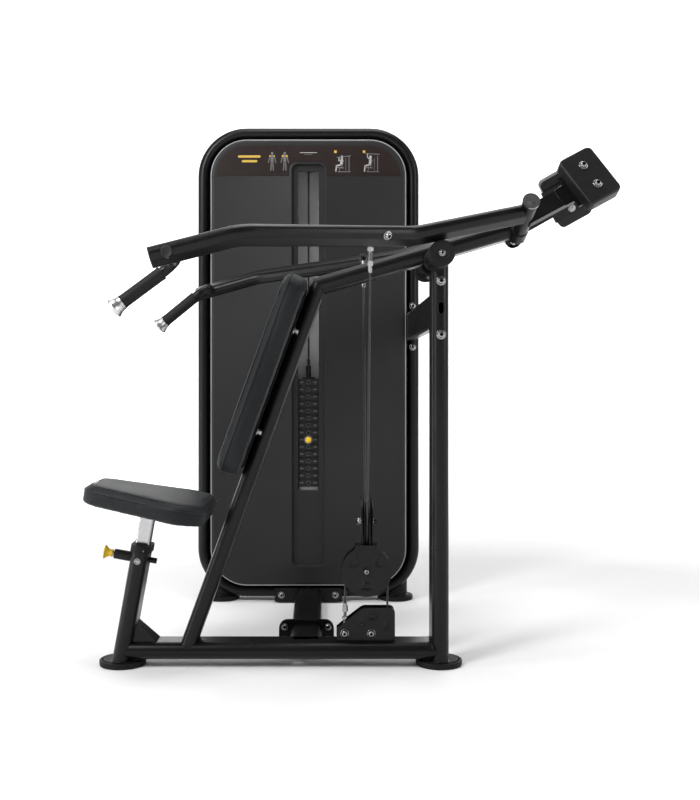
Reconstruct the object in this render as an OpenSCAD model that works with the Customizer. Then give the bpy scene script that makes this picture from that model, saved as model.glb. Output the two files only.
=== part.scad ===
// Converging shoulder press machine: frame, weight tower, press arms, seat and cables.
// Millimetres. Origin on the floor under the rear post, on the frame's centre plane.
// +X runs to the rear of the machine, -X to the front of the seat, +Y to the tower, +Z up.

/* [Frame] */
// Thin way of the flat-oval frame tube
tube_t = 48; // [44:1:50]
// Wide way of the flat-oval frame tube
tube_w = 110; // [106:2:114]
// Wall of the frame tubes
tube_wall = 3; // [2:0.5:4]
// Height of the base tube's centre line
base_z = 47; // [46:1:48]
// Distance from the rear post to the seat post foot
seat_foot_x = 897; // [890:1:905]
// Lean of the seat post, in degrees
seat_lean = 10.1; // [9.9:0.1:10.3]
// Lean of the back support tube, in degrees
back_lean = 19.93; // [19.8:0.01:20]
// Rise of the upper frame tube, in degrees
upper_rise = 16.17; // [16:0.01:16.3]

/* [Feet] */
// Radius of a rubber foot cup
foot_r = 65.5; // [62:0.5:68]
// Height of a rubber foot cup
foot_h = 17; // [16:1:18]

/* [Press arms] */
// Tilt of each arm axle from the horizontal, in degrees
axle_tilt = 20; // [19.5:0.1:20.5]
// Thin way of the flat-oval arm tube
arm_t = 38; // [36:1:40]
// Wide way of the flat-oval arm tube
arm_w = 68; // [64:1:70]
// Radius of the arm axle
axle_r = 8; // [7:0.5:9]
// Radius of the handle tube
handle_r = 14; // [13:0.5:15]
// Radius of the rubber grip
grip_r = 17.5; // [17:0.5:19]

/* [Weight tower] */
// Outer width of the tower loop
tower_w = 813; // [811:1:815]
// Top of the tower loop
tower_top = 1740; // [1735:1:1745]
// Distance from the frame's centre plane to the tower loop's centre plane
tower_y = 885; // [883:1:887]
// Thin way of the tower loop tube
loop_t = 44; // [43:1:45]
// Wide way of the tower loop tube
loop_w = 120; // [118:1:122]
// Number of weight plates
plate_count = 15; // [15:1:15]
// Number of plates lifted by the selector pin
lifted_count = 9; // [9:1:9]
// Pitch of the weight plates
plate_pitch = 26.3; // [26.1:0.1:26.5]

/* [Seat] */
// Length of the seat pad
seat_len = 358; // [350:1:365]
// Thickness of the seat pad
seat_thick = 56; // [50:1:60]
// Half width of the seat pad at the front
seat_front = 135; // [125:1:145]
// Half width of the seat pad at the rear
seat_rear = 208; // [195:1:215]

/* [Back pad] */
// Length of the back pad
back_len = 585; // [570:1:600]
// Width of the back pad
back_width = 280; // [260:2:300]
// Thickness of the back pad
back_thick = 68; // [60:1:72]

/* [Hidden] */
$fn = 48;
eps = 0.01;
big = 3000;

// Colours
frame_black = [0.14, 0.14, 0.145];
shroud_grey = [0.2, 0.2, 0.205];
pad_grey = [0.21, 0.22, 0.23];
rubber = [0.08, 0.08, 0.085];
chrome = [0.8, 0.8, 0.82];
steel = [0.55, 0.55, 0.56];
yellow = [0.9, 0.72, 0.1];

// Frame places, in the X-Z plane
upper_end = 184;
upper_z0 = 1171;
mitre = [-341.5, upper_z0 - 341.5 * tan(upper_rise)];
support_t = 44;
support_foot = [mitre[0] - (mitre[1] - 60) * tan(back_lean), 60];
stop_x = -16;
stop_z = 1140;
bumper_r = 34.7;

// Arm axle: a point on the centre plane and the outward direction of the near axle
axle_o = [217, 0, 1196.6];
axle_u = [0, -cos(axle_tilt), sin(axle_tilt)];
sleeve_in = 30;
sleeve_out = 74.5;
hub_in = 75;
hub_out = 225;
hub_r = 21;

// Near arm route, from the hub to the open end, and the handle's own route
arm_route = [[217, -155, 1253], [-95, -210, 1183], [-532, -450, 1150], [-739, -468, 1094]];
handle_route = [[-697, -502, 1104], [-694, -330, 1104], [-833, -355.7, 995]];
grip_end = handle_route[2];
grip_dir = unit(handle_route[2] - handle_route[1]);

// Counterweight lever, at its own angle in the plane square to the axle
lever_rise = 30.4;
weight_reach = 200.5;

// Cable ends on the arms
eye = [-205, -212, 1180];
eye_axis = [0.1637, 0.94, -0.1938];
cable_r = 3;

// Floating block and base pulleys
block_x = -206;
upper_pulley_z = 406;
lower_pulley_z = 266;
sheave_r = 60;
base_pulley_x = -193;
base_pulley_z = 92;
base_pulley_r = 47;
turn_r = 22;

// Tower places
tower_x = -378;
loop_corner = 158;
loop_foot = 16;
shroud_y = 800;
rear_y = 985;
stack_y = 868;
stack_z = 423.4;
plate_w = 300;
plate_d = 88;
plate_t = plate_pitch - 0.8;
rod_x = 105;
rise_y = 958;
tower_pulley_r = 45;
top_pulley_z = 1640;
recess = [120, 135, 1599];
window = [77.5, 409, 1574];

// Seat frame: a point on the post axis where it meets the pad's underside
seat_o = [-seat_foot_x + (438 - foot_h - 1) * tan(seat_lean), 0, 438];
pin_drop = 139;

// --- helpers ---------------------------------------------------------------------------

function unit(v) = v / norm(v);
function turned(v, k, a) = v * cos(a) + cross(k, v) * sin(a) + k * (k * v) * (1 - cos(a));
function angle_between(a, b) = acos(max(-1, min(1, unit(a) * unit(b))));
function square_to(v, d) = unit(v - d * (v * d));
function axle_point(s) = axle_o + axle_u * s;

// Puts local Z along zdir and local Y as near to ydir as it can be
module place(o, zdir, ydir) {
    z = unit(zdir);
    y = square_to(ydir, z);
    x = cross(y, z);
    multmatrix([[x[0], y[0], z[0], o[0]], [x[1], y[1], z[1], o[1]], [x[2], y[2], z[2], o[2]], [0, 0, 0, 1]])
        children();
}

// Flat-oval section, thin way along X
module oval(t, w) {
    if (w > t) {
        square([t, w - t], center = true);
        for (s = [-1, 1]) translate([0, s * (w - t) / 2]) circle(d = t);
    } else {
        circle(d = t);
    }
}

module oval_ring(t, w, wall) {
    difference() {
        oval(t, w);
        oval(t - 2 * wall, w - 2 * wall);
    }
}

// Rectangle with round corners
module rounded(w, h, r) {
    square([w - 2 * r, h], center = true);
    square([w, h - 2 * r], center = true);
    for (x = [-1, 1], y = [-1, 1]) translate([x * (w / 2 - r), y * (h / 2 - r)]) circle(r);
}

// Round-cornered rectangle between two heights, as an upright panel of a given depth from y
module panel(x, w, z0, z1, r, y, depth) {
    translate([x, y + depth, (z0 + z1) / 2])
        rotate([90, 0, 0])
            linear_extrude(depth) rounded(w, z1 - z0, r);
}

// Flat-oval section, solid or hollow, a little larger all over by grow
module section(t, w, wall, grow) {
    if (wall > 0) oval_ring(t + 2 * grow, w + 2 * grow, wall + 2 * grow);
    else oval(t + 2 * grow, w + 2 * grow);
}

// Sweeps a section along straight runs joined by round bends of radius r.
// The section's wide way starts along side and is carried round the bends.
// A step makes the straight runs that much thicker and laps them into the bends.
module swept(p, r, side, t, w, wall = 0, step = 0, i = 0, used = 0) {
    d = unit(p[i + 1] - p[i]);
    last = i + 2 >= len(p);
    e = last ? d : unit(p[i + 2] - p[i + 1]);
    a = last ? 0 : angle_between(d, e);
    cut = last ? 0 : r * tan(a / 2);
    run = norm(p[i + 1] - p[i]) - used - cut;
    lap0 = i > 0 ? 25 * step : 0;
    lap1 = last ? 0 : 25 * step;
    y = square_to(side, d);
    if (run > eps)
        place(p[i] + d * (used - lap0), d, y) linear_extrude(run + lap0 + lap1) section(t, w, wall, step);
    if (!last) {
        k = unit(cross(d, e));
        m = cross(k, d);
        start = p[i + 1] - d * cut;
        phi = atan2(y * k, y * -m);
        place(start + m * r, k, d)
            rotate_extrude(angle = a) translate([r, 0]) rotate(phi - 90) section(t, w, wall, 0);
        swept(p, r, turned(y, k, a), t, w, wall, step, i + 1, cut);
    }
}

// Half space on the far side of a point in the X-Z plane, along a direction in degrees
module beyond(p, a) {
    translate([p[0], 0, p[1]])
        rotate([0, -a, 0])
            translate([0, -big / 2, -big / 2]) cube(big);
}

// Straight tube in the X-Z plane from a point along a direction in degrees
module plane_run(p, a, length) {
    translate([p[0], 0, p[1]]) rotate([0, 90 - a, 0]) linear_extrude(length) children();
}

module along_y(x, z, y0, y1) {
    translate([x, y1, z]) rotate([90, 0, 0]) linear_extrude(y1 - y0) children();
}

// Hexagon bolt head facing -Y with its washer
module bolt_head(x, y, z, r = 9) {
    along_y(x, z, y - 2, y) circle(r * 1.25);
    along_y(x, z, y - 9, y - 2) circle(r, $fn = 6);
}

// Mirrored copies about the centre plane
module both_sides() {
    children();
    mirror([0, 1, 0]) children();
}

// Outline of a grooved pulley, turned about Z
module sheave(r, bore, width = 16) {
    rotate_extrude()
        polygon([
            [bore, -width / 2], [r + 4, -width / 2], [r + 4, -width / 2 + 2], [r - cable_r - 0.5, -2],
            [r - cable_r - 0.5, 2], [r + 4, width / 2 - 2], [r + 4, width / 2], [bore, width / 2]
        ]);
}

// --- fixed frame -----------------------------------------------------------------------

module base_outer() {
    translate([-seat_foot_x, 0, base_z])
        rotate([0, 90, 0]) linear_extrude(seat_foot_x) oval(tube_t, tube_w - 4);
}

module base_tube() {
    color(frame_black)
        difference() {
            translate([-seat_foot_x, 0, base_z])
                rotate([0, 90, 0])
                    linear_extrude(seat_foot_x) oval_ring(tube_t, tube_w - 4, tube_wall);
            seat_post_outer();
            rear_post_outer();
            // Slot for the base pulley and mouth for the cable to the tower
            translate([base_pulley_x - 58, -13, base_z]) cube([116, 26, 40]);
            translate([tower_x, 0, base_z])
                rotate([-90, 0, 0]) linear_extrude(80) oval(tube_w - 24, tube_t - 12);
        }
}

module seat_post_outer() {
    plane_run([-seat_foot_x, foot_h + 1], 90 - seat_lean, 318) oval(tube_t, tube_w);
}

module seat_post_tube() {
    color(frame_black) {
        difference() {
            plane_run([-seat_foot_x - (foot_h + 1) * tan(seat_lean), 0], 90 - seat_lean,
                438 / cos(seat_lean) - 117) oval_ring(tube_t, tube_w, tube_wall);
            translate([-big / 2, -big / 2, -big + foot_h + 1]) cube(big);
            pin_frame() translate([0, 0, 12]) cylinder(h = 40, r = 8.5);
        }
        // Corner gusset between the seat post and the base tube
        difference() {
            translate([-880, 30, 60])
                rotate([90, 0, 0]) linear_extrude(60) polygon([[0, 0], [84, 0], [84, 12], [26, 62], [0, 62]]);
            seat_post_outer();
            base_outer();
        }
    }
}

module support_outer() {
    plane_run(support_foot, 90 - back_lean, 1150) oval(support_t, tube_w - 7);
}

module back_support_tube() {
    color(frame_black)
        difference() {
            plane_run(support_foot, 90 - back_lean, 1150) oval_ring(support_t, tube_w - 7, tube_wall);
            beyond(mitre, (90 - back_lean + upper_rise) / 2);
            base_outer();
        }
}

module upper_outer() {
    intersection() {
        plane_run([mitre[0] - 60 * cos(upper_rise), mitre[1] - 60 * sin(upper_rise)], upper_rise, upper_run() + 60)
            oval(tube_t, tube_w - 4);
        beyond(mitre, (90 - back_lean + upper_rise) / 2);
    }
}

function upper_run() = (upper_end - mitre[0]) / cos(upper_rise);

module upper_frame_tube() {
    color(frame_black)
        intersection() {
            plane_run([mitre[0] - 60 * cos(upper_rise), mitre[1] - 60 * sin(upper_rise)], upper_rise, upper_run() + 60)
                oval_ring(tube_t, tube_w - 4, tube_wall);
            beyond(mitre, (90 - back_lean + upper_rise) / 2);
        }
}

module rear_post_outer() {
    translate([0, 0, foot_h + 1]) linear_extrude(1200) oval(tube_t, tube_w);
}

module rear_post() {
    color(frame_black)
        difference() {
            translate([0, 0, foot_h + 1]) linear_extrude(1180) oval_ring(tube_t, tube_w, tube_wall);
            upper_outer();
            beyond([-200, upper_z0 - 200 * tan(upper_rise)], 90 + upper_rise);
            // Adjustment slot on the near side
            translate([0, -tube_w / 2 - 10, 1008])
                rotate([-90, 0, 0]) linear_extrude(30) oval(15, 32);
        }
}

module foot_disc() {
    cylinder(h = 8, r = 55);
}

module foot_plates() {
    color(frame_black) {
        for (x = [-seat_foot_x, 0]) translate([x, 0, foot_h - 7]) foot_disc();
        for (s = [-1, 1]) translate([tower_x + s * 322, tower_y, foot_h - 7]) {
            foot_disc();
            difference() {
                cylinder(h = 130, r = 44);
                translate([0, 0, 8]) cylinder(h = 130, r = 40);
                translate([-tower_x - s * 322, -tower_y, -foot_h + 7]) loop_outer();
                translate([-tower_x - s * 322, -tower_y, -foot_h + 7]) loop_inside();
            }
        }
    }
}

module foot_cup() {
    difference() {
        cylinder(h = foot_h, r = foot_r);
        translate([0, 0, foot_h - 7]) cylinder(h = 10, r = 58);
    }
}

module foot_cups() {
    color(rubber) {
        for (x = [-seat_foot_x, 0]) translate([x, 0, 0]) foot_cup();
        for (s = [-1, 1]) translate([tower_x + s * 322, tower_y, 0]) foot_cup();
    }
}

module stop_stubs() {
    color(frame_black)
        both_sides()
            difference() {
                along_y(stop_x, stop_z, -170, -25) circle(30);
                upper_outer();
                rear_post_outer();
            }
}

module stop_bumpers() {
    color(rubber)
        both_sides() {
            along_y(stop_x, stop_z, -210, -170) circle(bumper_r);
        }
}

module pivot_carrier() {
    end = [upper_end, mitre[1] + upper_run() * sin(upper_rise)];
    color(frame_black)
        difference() {
            union() {
                plane_run(end, upper_rise, 12) oval(tube_t, tube_w);
                both_sides() place(axle_point(sleeve_in), axle_u, [1, 0, 0]) cylinder(h = sleeve_out - sleeve_in, r = 23);
            }
            both_sides() place(axle_point(-20), axle_u, [1, 0, 0]) cylinder(h = 140, r = axle_r);
            both_sides() place(axle_point(-40), axle_u, [1, 0, 0]) cylinder(h = 40 + sleeve_in, r = 14);
        }
}

module arm_axles() {
    color(chrome)
        both_sides() {
            place(axle_point(14), axle_u, [1, 0, 0]) cylinder(h = hub_out - 12, r = axle_r);
            place(axle_point(17), axle_u, [1, 0, 0]) cylinder(h = sleeve_in - 17, r = 11, $fn = 6);
            place(axle_point(hub_out + 0.5), axle_u, [1, 0, 0]) cylinder(h = 6, r = 23);
            place(axle_point(hub_out + 6.5), axle_u, [1, 0, 0]) cylinder(h = 7, r = 11, $fn = 6);
        }
}

module flange(y) {
    along_y(tower_x, 44, y, y + 8)
        difference() {
            rounded(166, 76, 26);
            oval_hole();
        }
}

module oval_hole() {
    translate([0, -4]) square([40, 28], center = true);
}

module connector_stub() {
    color(frame_black) {
        difference() {
            along_y(tower_x, base_z, 20, 184.5) rotate(90) oval_ring(tube_t, 94, tube_wall);
            base_outer();
        }
        flange(184);
    }
}

module connector_beam() {
    color(frame_black) {
        flange(192);
        along_y(tower_x, 32, 199.5, 799.5) rotate(90) oval_ring(loop_t, 94, tube_wall);
        difference() {
            union() {
                along_y(tower_x, 30, 799, 807) square([244, 50], center = true);
                for (s = [-1, 1]) along_y(tower_x + s * 78, 30, 806.5, 850) square([70, 40], center = true);
            }
            loop_outer();
            along_y(tower_x, 38, 790, 860) square([40, 24], center = true);
        }
    }
}

module upper_brace() {
    color(frame_black)
        difference() {
            along_y(0, 1008, 30, tower_y - 30) rounded_ring(40, 100, 12, 3);
            rear_post_outer();
            loop_outer();
        }
}

module rounded_ring(w, h, r, wall) {
    difference() {
        rounded(w, h, r);
        rounded(w - 2 * wall, h - 2 * wall, r - wall);
    }
}

module frame_bolts() {
    color(chrome) {
        // Rear post
        for (z = [1083, 933]) bolt_head(0, -tube_w / 2, z, 9);
        // Stop bumpers
        both_sides() bolt_head(stop_x, -210, stop_z, 6.5);
        // Flanges
        for (x = [-1, 1], z = [24, 62]) {
            bolt_head(tower_x + x * 66, 184, z, 8);
            along_y(tower_x + x * 66, z, 200, 208) circle(9, $fn = 6);
        }
        // Tower bracket
        for (x = [-1, 1]) bolt_head(tower_x + x * 98, 799, 30, 9);
        // Tower loop at the upper brace
        for (z = [1083, 933]) bolt_head(4, tower_y - loop_w / 2, z, 8);
    }
}

// --- weight tower ----------------------------------------------------------------------

function loop_w2() = tower_w / 2 - loop_t / 2;
function loop_low() = loop_foot + loop_t / 2;
function loop_high() = tower_top - loop_t / 2;

// Half of the loop's centre line, from the top middle down to the bottom middle
function loop_half(s) = [
    [tower_x, tower_y, loop_high()],
    [tower_x + s * loop_w2(), tower_y, loop_high()],
    [tower_x + s * loop_w2(), tower_y, loop_low()],
    [tower_x, tower_y, loop_low()]
];

module loop_outer() {
    for (s = [-1, 1]) swept(loop_half(s), loop_corner, [0, 1, 0], loop_t, loop_w);
}

// Everything inside the loop's centre line
module loop_inside() {
    panel(tower_x, 2 * loop_w2(), loop_low(), loop_high(), loop_corner, tower_y - 200, 400);
}

module tower_loop() {
    color(frame_black)
        difference() {
            for (s = [-1, 1]) swept(loop_half(s), loop_corner, [0, 1, 0], loop_t, loop_w, tube_wall);
            // Mouth for the cable from the beam, and the slot for the lower pulley
            along_y(tower_x, 45, 790, 880) circle(8);
            translate([tower_x - 12, 858, loop_low()]) cube([24, 110, 50]);
        }
}

module shroud_pan(y0, y1, front) {
    inset = 2;
    w = tower_w - 2 * loop_t - 2 * inset - 6;
    z0 = loop_foot + loop_t + inset;
    z1 = tower_top - loop_t - inset - 4;
    difference() {
        panel(tower_x, w, z0, z1, 134, y0, y1 - y0);
        if (front) {
            panel(tower_x, w - 6, z0 + 3, z1 - 3, 131, y0 + 3, y1 - y0);
        } else {
            panel(tower_x, w - 6, z0 + 3, z1 - 3, 131, y0 - 3, y1 - y0);
        }
    }
    // Screw blocks that carry the shroud on the loop's inner side
    for (s = [-1, 1], z = [480, 1280]) translate([tower_x + s * (w / 2 + 2) - 3, front ? 848 : 902, z])
        cube([6, 20, 30]);
}

module front_shroud() {
    color(shroud_grey)
        difference() {
            union() {
                shroud_pan(shroud_y, 872, true);
                panel(tower_x, recess[0] + 6, recess[1] - 3, recess[2] + 3, 24, shroud_y + 1, 14);
            }
            panel(tower_x, recess[0], recess[1], recess[2], 21, shroud_y - 5, 17);
            panel(tower_x, window[0], window[1], window[2], 3, shroud_y - 5, 60);
            for (z = [50, 1675]) translate([tower_x - 150, 848, z]) cube([300, 40, 25]);
        }
}

module rear_shroud() {
    color(shroud_grey)
        difference() {
            shroud_pan(898, rear_y, false);
            for (z = [50, 1675]) translate([tower_x - 150, 890, z]) cube([300, 76, 25]);
        }
}

module placard() {
    color([0.16, 0.13, 0.13])
        intersection() {
            difference() {
                panel(tower_x, 668, 200, 1665, 112, shroud_y - 2, 2);
                panel(tower_x, recess[0] + 22, recess[1] - 10, recess[2] + 8, 28, shroud_y - 10, 30);
            }
            translate([tower_x - 500, shroud_y - 20, 1556]) cube([1000, 60, 300]);
        }
}

module guide_rods() {
    color(chrome)
        for (s = [-1, 1]) translate([tower_x + s * rod_x, stack_y, 398])
            cylinder(h = tower_top - loop_t - 398, r = 9.5);
}

module stack_stand() {
    color(frame_black) {
        translate([tower_x - plate_w / 2, stack_y - plate_d / 2, 386])
            difference() {
                cube([plate_w, plate_d, 12]);
                translate([plate_w / 2, plate_d / 2, -1]) cylinder(h = 20, r = 14);
            }
        for (s = [-1, 1]) translate([tower_x + s * 115, stack_y, loop_foot + loop_t])
            linear_extrude(386 - loop_foot - loop_t) rounded_ring(50, 30, 6, 3);
    }
}

module stack_cushions() {
    color(rubber)
        for (s = [-1, 1]) translate([tower_x + s * rod_x, stack_y, 398])
            difference() {
                cylinder(h = stack_z - 398 - 0.4, r = 24);
                cylinder(h = 80, r = 9.5, center = true);
            }
}

// One weight plate, resting at a height counted from the bottom of the stack
module plate(level) {
    translate([tower_x, stack_y, stack_z + level * plate_pitch])
        difference() {
            linear_extrude(plate_t) rounded(plate_w, plate_d, 8);
            translate([0, 0, -1]) cylinder(h = 40, r = 12);
            for (s = [-1, 1]) translate([s * rod_x, 0, -1]) cylinder(h = 40, r = 10);
            translate([0, 0, plate_t / 2]) rotate([90, 0, 0]) cylinder(h = 60, r = 5);
        }
}

module lower_plates() {
    color(frame_black) for (i = [0 : plate_count - lifted_count - 1]) plate(i);
}

module lifted_plates() {
    color(frame_black) for (i = [plate_count - lifted_count : plate_count - 1]) plate(i);
}

module selector_rod() {
    top = stack_z + plate_count * plate_pitch;
    level = stack_z + (plate_count - lifted_count) * plate_pitch + plate_t / 2;
    color(steel) {
        difference() {
            translate([tower_x, stack_y, 404]) cylinder(h = top - 404, r = 11);
            for (i = [0 : lifted_count - 1])
                translate([tower_x, stack_y - 20, level + i * plate_pitch])
                    rotate([-90, 0, 0]) cylinder(h = 40, r = 5);
        }
        translate([tower_x, stack_y, top]) cylinder(h = 4, r = 24);
        translate([tower_x, stack_y, top + 4]) cylinder(h = 44, r = 9);
        translate([tower_x, stack_y, top + 48]) cylinder(h = 24, r = 5);
    }
}

module selector_pin() {
    level = stack_z + (plate_count - lifted_count) * plate_pitch + plate_t / 2;
    y0 = stack_y - plate_d / 2;
    color(yellow) {
        along_y(tower_x, level, y0 - 4, stack_y + 10) circle(4.95);
        along_y(tower_x, level, y0 - 24, y0 - 4) circle(16);
    }
}

module pulley_brackets() {
    color(frame_black) {
        // Lower tower pulley
        for (s = [-1, 1]) translate([tower_x + s * 14 - 3, 878, loop_foot + loop_t]) cube([6, 44, 60]);
        translate([tower_x - 20, 913, 90]) rotate([0, 90, 0]) cylinder(h = 40, r = 7);
        // Top pulley
        for (s = [-1, 1]) translate([tower_x + s * 14 - 3, 888, 1615]) cube([6, 34, tower_top - loop_t - 1615]);
        translate([tower_x - 20, 905 + 8, top_pulley_z]) rotate([0, 90, 0]) cylinder(h = 40, r = 7);
        // Turning pulley's axle inside the base tube
        translate([tower_x + turn_r, turn_r, base_z - tube_t / 2 + tube_wall])
            cylinder(h = tube_t - 2 * tube_wall, r = 6);
    }
}

// --- cables, housings and pulleys ------------------------------------------------------

module housing_side() {
    polygon([
        [-290, 71], [-290, 105], [-262, 129], [-222, 160], [-212, 164], [-136, 164], [-129, 160],
        [-126, 153], [-126, 71]
    ]);
}

module pulley_housing() {
    color(frame_black) {
        for (y = [-21, 18]) translate([0, y + 3, 0]) rotate([90, 0, 0]) linear_extrude(3) housing_side();
        // Axle and bolt heads
        along_y(base_pulley_x, base_pulley_z, -18, 18) circle(7);
        for (x = [base_pulley_x, -268]) along_y(x, base_pulley_z, -25, -21) circle(11);
        for (x = [base_pulley_x, -268]) along_y(x, base_pulley_z, 21, 27) circle(10, $fn = 6);
    }
}

module cable_anchor() {
    x = block_x - sheave_r;
    color(chrome) {
        along_y(-268, base_pulley_z, -18, 18) circle(6);
        difference() {
            along_y(-268, base_pulley_z, -5, 5) circle(13);
            along_y(-268, base_pulley_z, -18, 18) circle(6);
        }
        translate([x, 0, base_pulley_z + 10]) cylinder(h = 72, r = 4.5);
        translate([x, 0, 128]) cylinder(h = 8, r = 9, $fn = 6);
        translate([x, 0, 150]) cylinder(h = 16, r = 8, $fn = 6);
    }
}

module lift_cable() {
    right = block_x + sheave_r;
    color(rubber)
        swept([
            [right, 0, base_pulley_z], [right, 0, base_pulley_z - base_pulley_r],
            [-300, 0, base_pulley_z - base_pulley_r]
        ], base_pulley_r - 0.001, [0, 1, 0], 2 * cable_r, 2 * cable_r, $fn = 24);
    color(rubber)
        swept([
            [-300, 0, 45], [tower_x, 0, 45], [tower_x, 200, 45]
        ], turn_r, [0, 0, 1], 2 * cable_r, 2 * cable_r, $fn = 24);
    color(rubber)
        swept([
            [tower_x, 200, 45], [tower_x, rise_y, 45], [tower_x, rise_y, top_pulley_z + tower_pulley_r],
            [tower_x, stack_y, top_pulley_z + tower_pulley_r], [tower_x, stack_y, top_pulley_z]
        ], tower_pulley_r - 0.001, [1, 0, 0], 2 * cable_r, 2 * cable_r, $fn = 24);
}

module anchor_cable_run() {
    color(rubber) translate([block_x - sheave_r, 0, 174]) cylinder(h = lower_pulley_z - 174 - 0.5, r = cable_r);
}

module base_cable_run() {
    color(rubber)
        translate([block_x + sheave_r, 0, base_pulley_z + 0.2])
            cylinder(h = lower_pulley_z - base_pulley_z - 0.7, r = cable_r);
}

module stack_cable_run() {
    bottom = stack_z + plate_count * plate_pitch + 72.5;
    color(rubber) translate([tower_x, stack_y, bottom]) cylinder(h = top_pulley_z - bottom, r = cable_r);
}

module base_pulley() {
    color(rubber) translate([base_pulley_x, 0, base_pulley_z]) rotate([90, 0, 0]) sheave(base_pulley_r, 7.05);
}

module turning_pulley() {
    color(rubber) translate([tower_x + turn_r, turn_r, 45]) sheave(turn_r, 6.05);
}

module tower_pulley() {
    color(rubber) translate([tower_x, 913, 90]) rotate([0, 90, 0]) sheave(tower_pulley_r, 7.05);
}

module top_pulley() {
    color(rubber) translate([tower_x, 913, top_pulley_z]) rotate([0, 90, 0]) sheave(tower_pulley_r, 7.05);
}

// Cover outline of the floating block's lower pulley, round with a flat top
module cover_outline() {
    circle(71);
    polygon([[-32, 72], [32, 72], [32, 66], [64, 30], [-64, 30], [-32, 66]]);
}

module block_bracket() {
    color(frame_black) {
        // Cheeks of the upper pulley, square to X
        for (s = [-1, 1]) translate([block_x + s * 15 - 1.5, 0, 0]) difference() {
            union() {
                translate([0, 0, upper_pulley_z]) rotate([0, 90, 0]) cylinder(h = 3, r = 71);
                translate([0, -26, lower_pulley_z + 74.5]) cube([3, 52, 60]);
            }
            translate([-5, -200, -54]) cube([20, 400, lower_pulley_z + 74.5 + 54]);
        }
        translate([block_x - 32, -26, lower_pulley_z + 72]) cube([64, 52, 3]);
        translate([block_x - 22, 0, upper_pulley_z]) rotate([0, 90, 0]) cylinder(h = 44, r = 7);
        translate([block_x - 30, 0, upper_pulley_z]) rotate([0, 90, 0]) cylinder(h = 8, r = 10, $fn = 6);
        translate([block_x + 22, 0, upper_pulley_z]) rotate([0, 90, 0]) cylinder(h = 7, r = 10);
        // Covers of the lower pulley, square to Y
        for (y = [-21, 18]) translate([block_x, y + 3, lower_pulley_z])
            rotate([90, 0, 0]) linear_extrude(3) cover_outline();
        along_y(block_x, lower_pulley_z, -18, 18) circle(7);
        along_y(block_x, lower_pulley_z, -27, -21) circle(10);
        along_y(block_x, lower_pulley_z, 21, 29) circle(10, $fn = 6);
    }
}

module block_upper_pulley() {
    color(rubber) translate([block_x, 0, upper_pulley_z]) rotate([0, 90, 0]) sheave(sheave_r, 7.05);
}

module block_lower_pulley() {
    color(rubber) translate([block_x, 0, lower_pulley_z]) rotate([90, 0, 0]) sheave(sheave_r, 7.05);
}

module half_ring(r) {
    rotate_extrude(angle = 180) translate([r, 0]) circle(cable_r, $fn = 24);
}

module block_cables() {
    color(rubber) {
        // Under the upper pulley
        translate([block_x, 0, upper_pulley_z]) rotate([0, 0, 90]) rotate([-90, 0, 0]) half_ring(sheave_r);
        // Over the lower pulley
        translate([block_x, 0, lower_pulley_z]) rotate([90, 0, 0]) half_ring(sheave_r);
    }
}

// --- seat and back ---------------------------------------------------------------------

// Local frame of the seat: Z along the post, X to the rear
module seat_frame() {
    translate(seat_o) rotate([0, seat_lean, 0]) children();
}

module seat_collar() {
    color(rubber)
        seat_frame()
            translate([0, 0, -117])
                difference() {
                    union() {
                        linear_extrude(20) oval(tube_t + 8, tube_w + 8);
                        translate([0, 0, -60]) linear_extrude(60) oval(tube_t - 2 * tube_wall, tube_w - 2 * tube_wall);
                    }
                    translate([0, 0, -61]) linear_extrude(100) rounded(40.1, 40.1, 6);
                    translate([-80, -8, -61]) cube([80, 16, 61]);
                }
}

module seat_post() {
    color(chrome)
        seat_frame() {
            difference() {
                translate([0, 0, -310]) linear_extrude(302) rounded(40, 40, 6);
                // Groove and index holes for the pop-pin
                translate([-21, -6, -300]) cube([4, 12, 260]);
                for (i = [-4 : 1]) translate([-21, 0, i * 36 - pin_drop]) rotate([0, 90, 0]) cylinder(h = 12, r = 5);
            }
            translate([-110, -55, -8]) cube([220, 110, 8]);
        }
}

// Plan outline of the seat: narrow front, wide rear, round corners
module seat_plan(inset = 0) {
    r1 = 55;
    r2 = 75;
    x0 = -seat_len / 2 + r1;
    x1 = seat_len / 2 - r2;
    hull() {
        for (s = [-1, 1]) {
            translate([x0, s * (seat_front - r1)]) circle(r1 - inset, $fn = 32);
            translate([x1, s * (seat_rear - r2)]) circle(r2 - inset, $fn = 32);
        }
    }
}

module seat_pad() {
    color(pad_grey)
        seat_frame() {
            linear_extrude(seat_thick - 10) seat_plan();
            translate([0, 0, seat_thick - 10]) linear_extrude(10) seat_plan(10);
        }
}

module pin_barrel() {
    color(rubber)
        difference() {
            pin_frame() translate([0, 0, 5]) cylinder(h = 70, r = 14);
            seat_post_outer();
            pin_frame() translate([0, 0, -20]) cylinder(h = 100, r = 7.55);
        }
    color(chrome)
        difference() {
            pin_frame() rotate([0, 180, 0]) translate([0, 0, 20]) cylinder(h = 26, r = 8);
            seat_post_outer();
        }
}

// Local frame of the pop-pin: Z points out of the seat post's front, square to it
module pin_frame() {
    seat_frame()
        translate([0, 0, -pin_drop])
            rotate([0, -90, 0]) children();
}

module pop_pin_knob() {
    color(yellow)
        pin_frame() {
            translate([0, 0, 17.5]) cylinder(h = 66, r = 4.4);
            translate([0, 0, 62]) cylinder(h = 17.5, r = 7.5);
            translate([0, 0, 79]) cylinder(h = 18.5, r = 11);
            translate([0, 0, 97]) cylinder(h = 8, r = 20);
        }
}

// Local frame of the back pad: Z up along the support tube, X from the pad to the tube
module back_frame() {
    translate([mitre[0], 0, mitre[1]]) rotate([0, back_lean, 0]) children();
}

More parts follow.
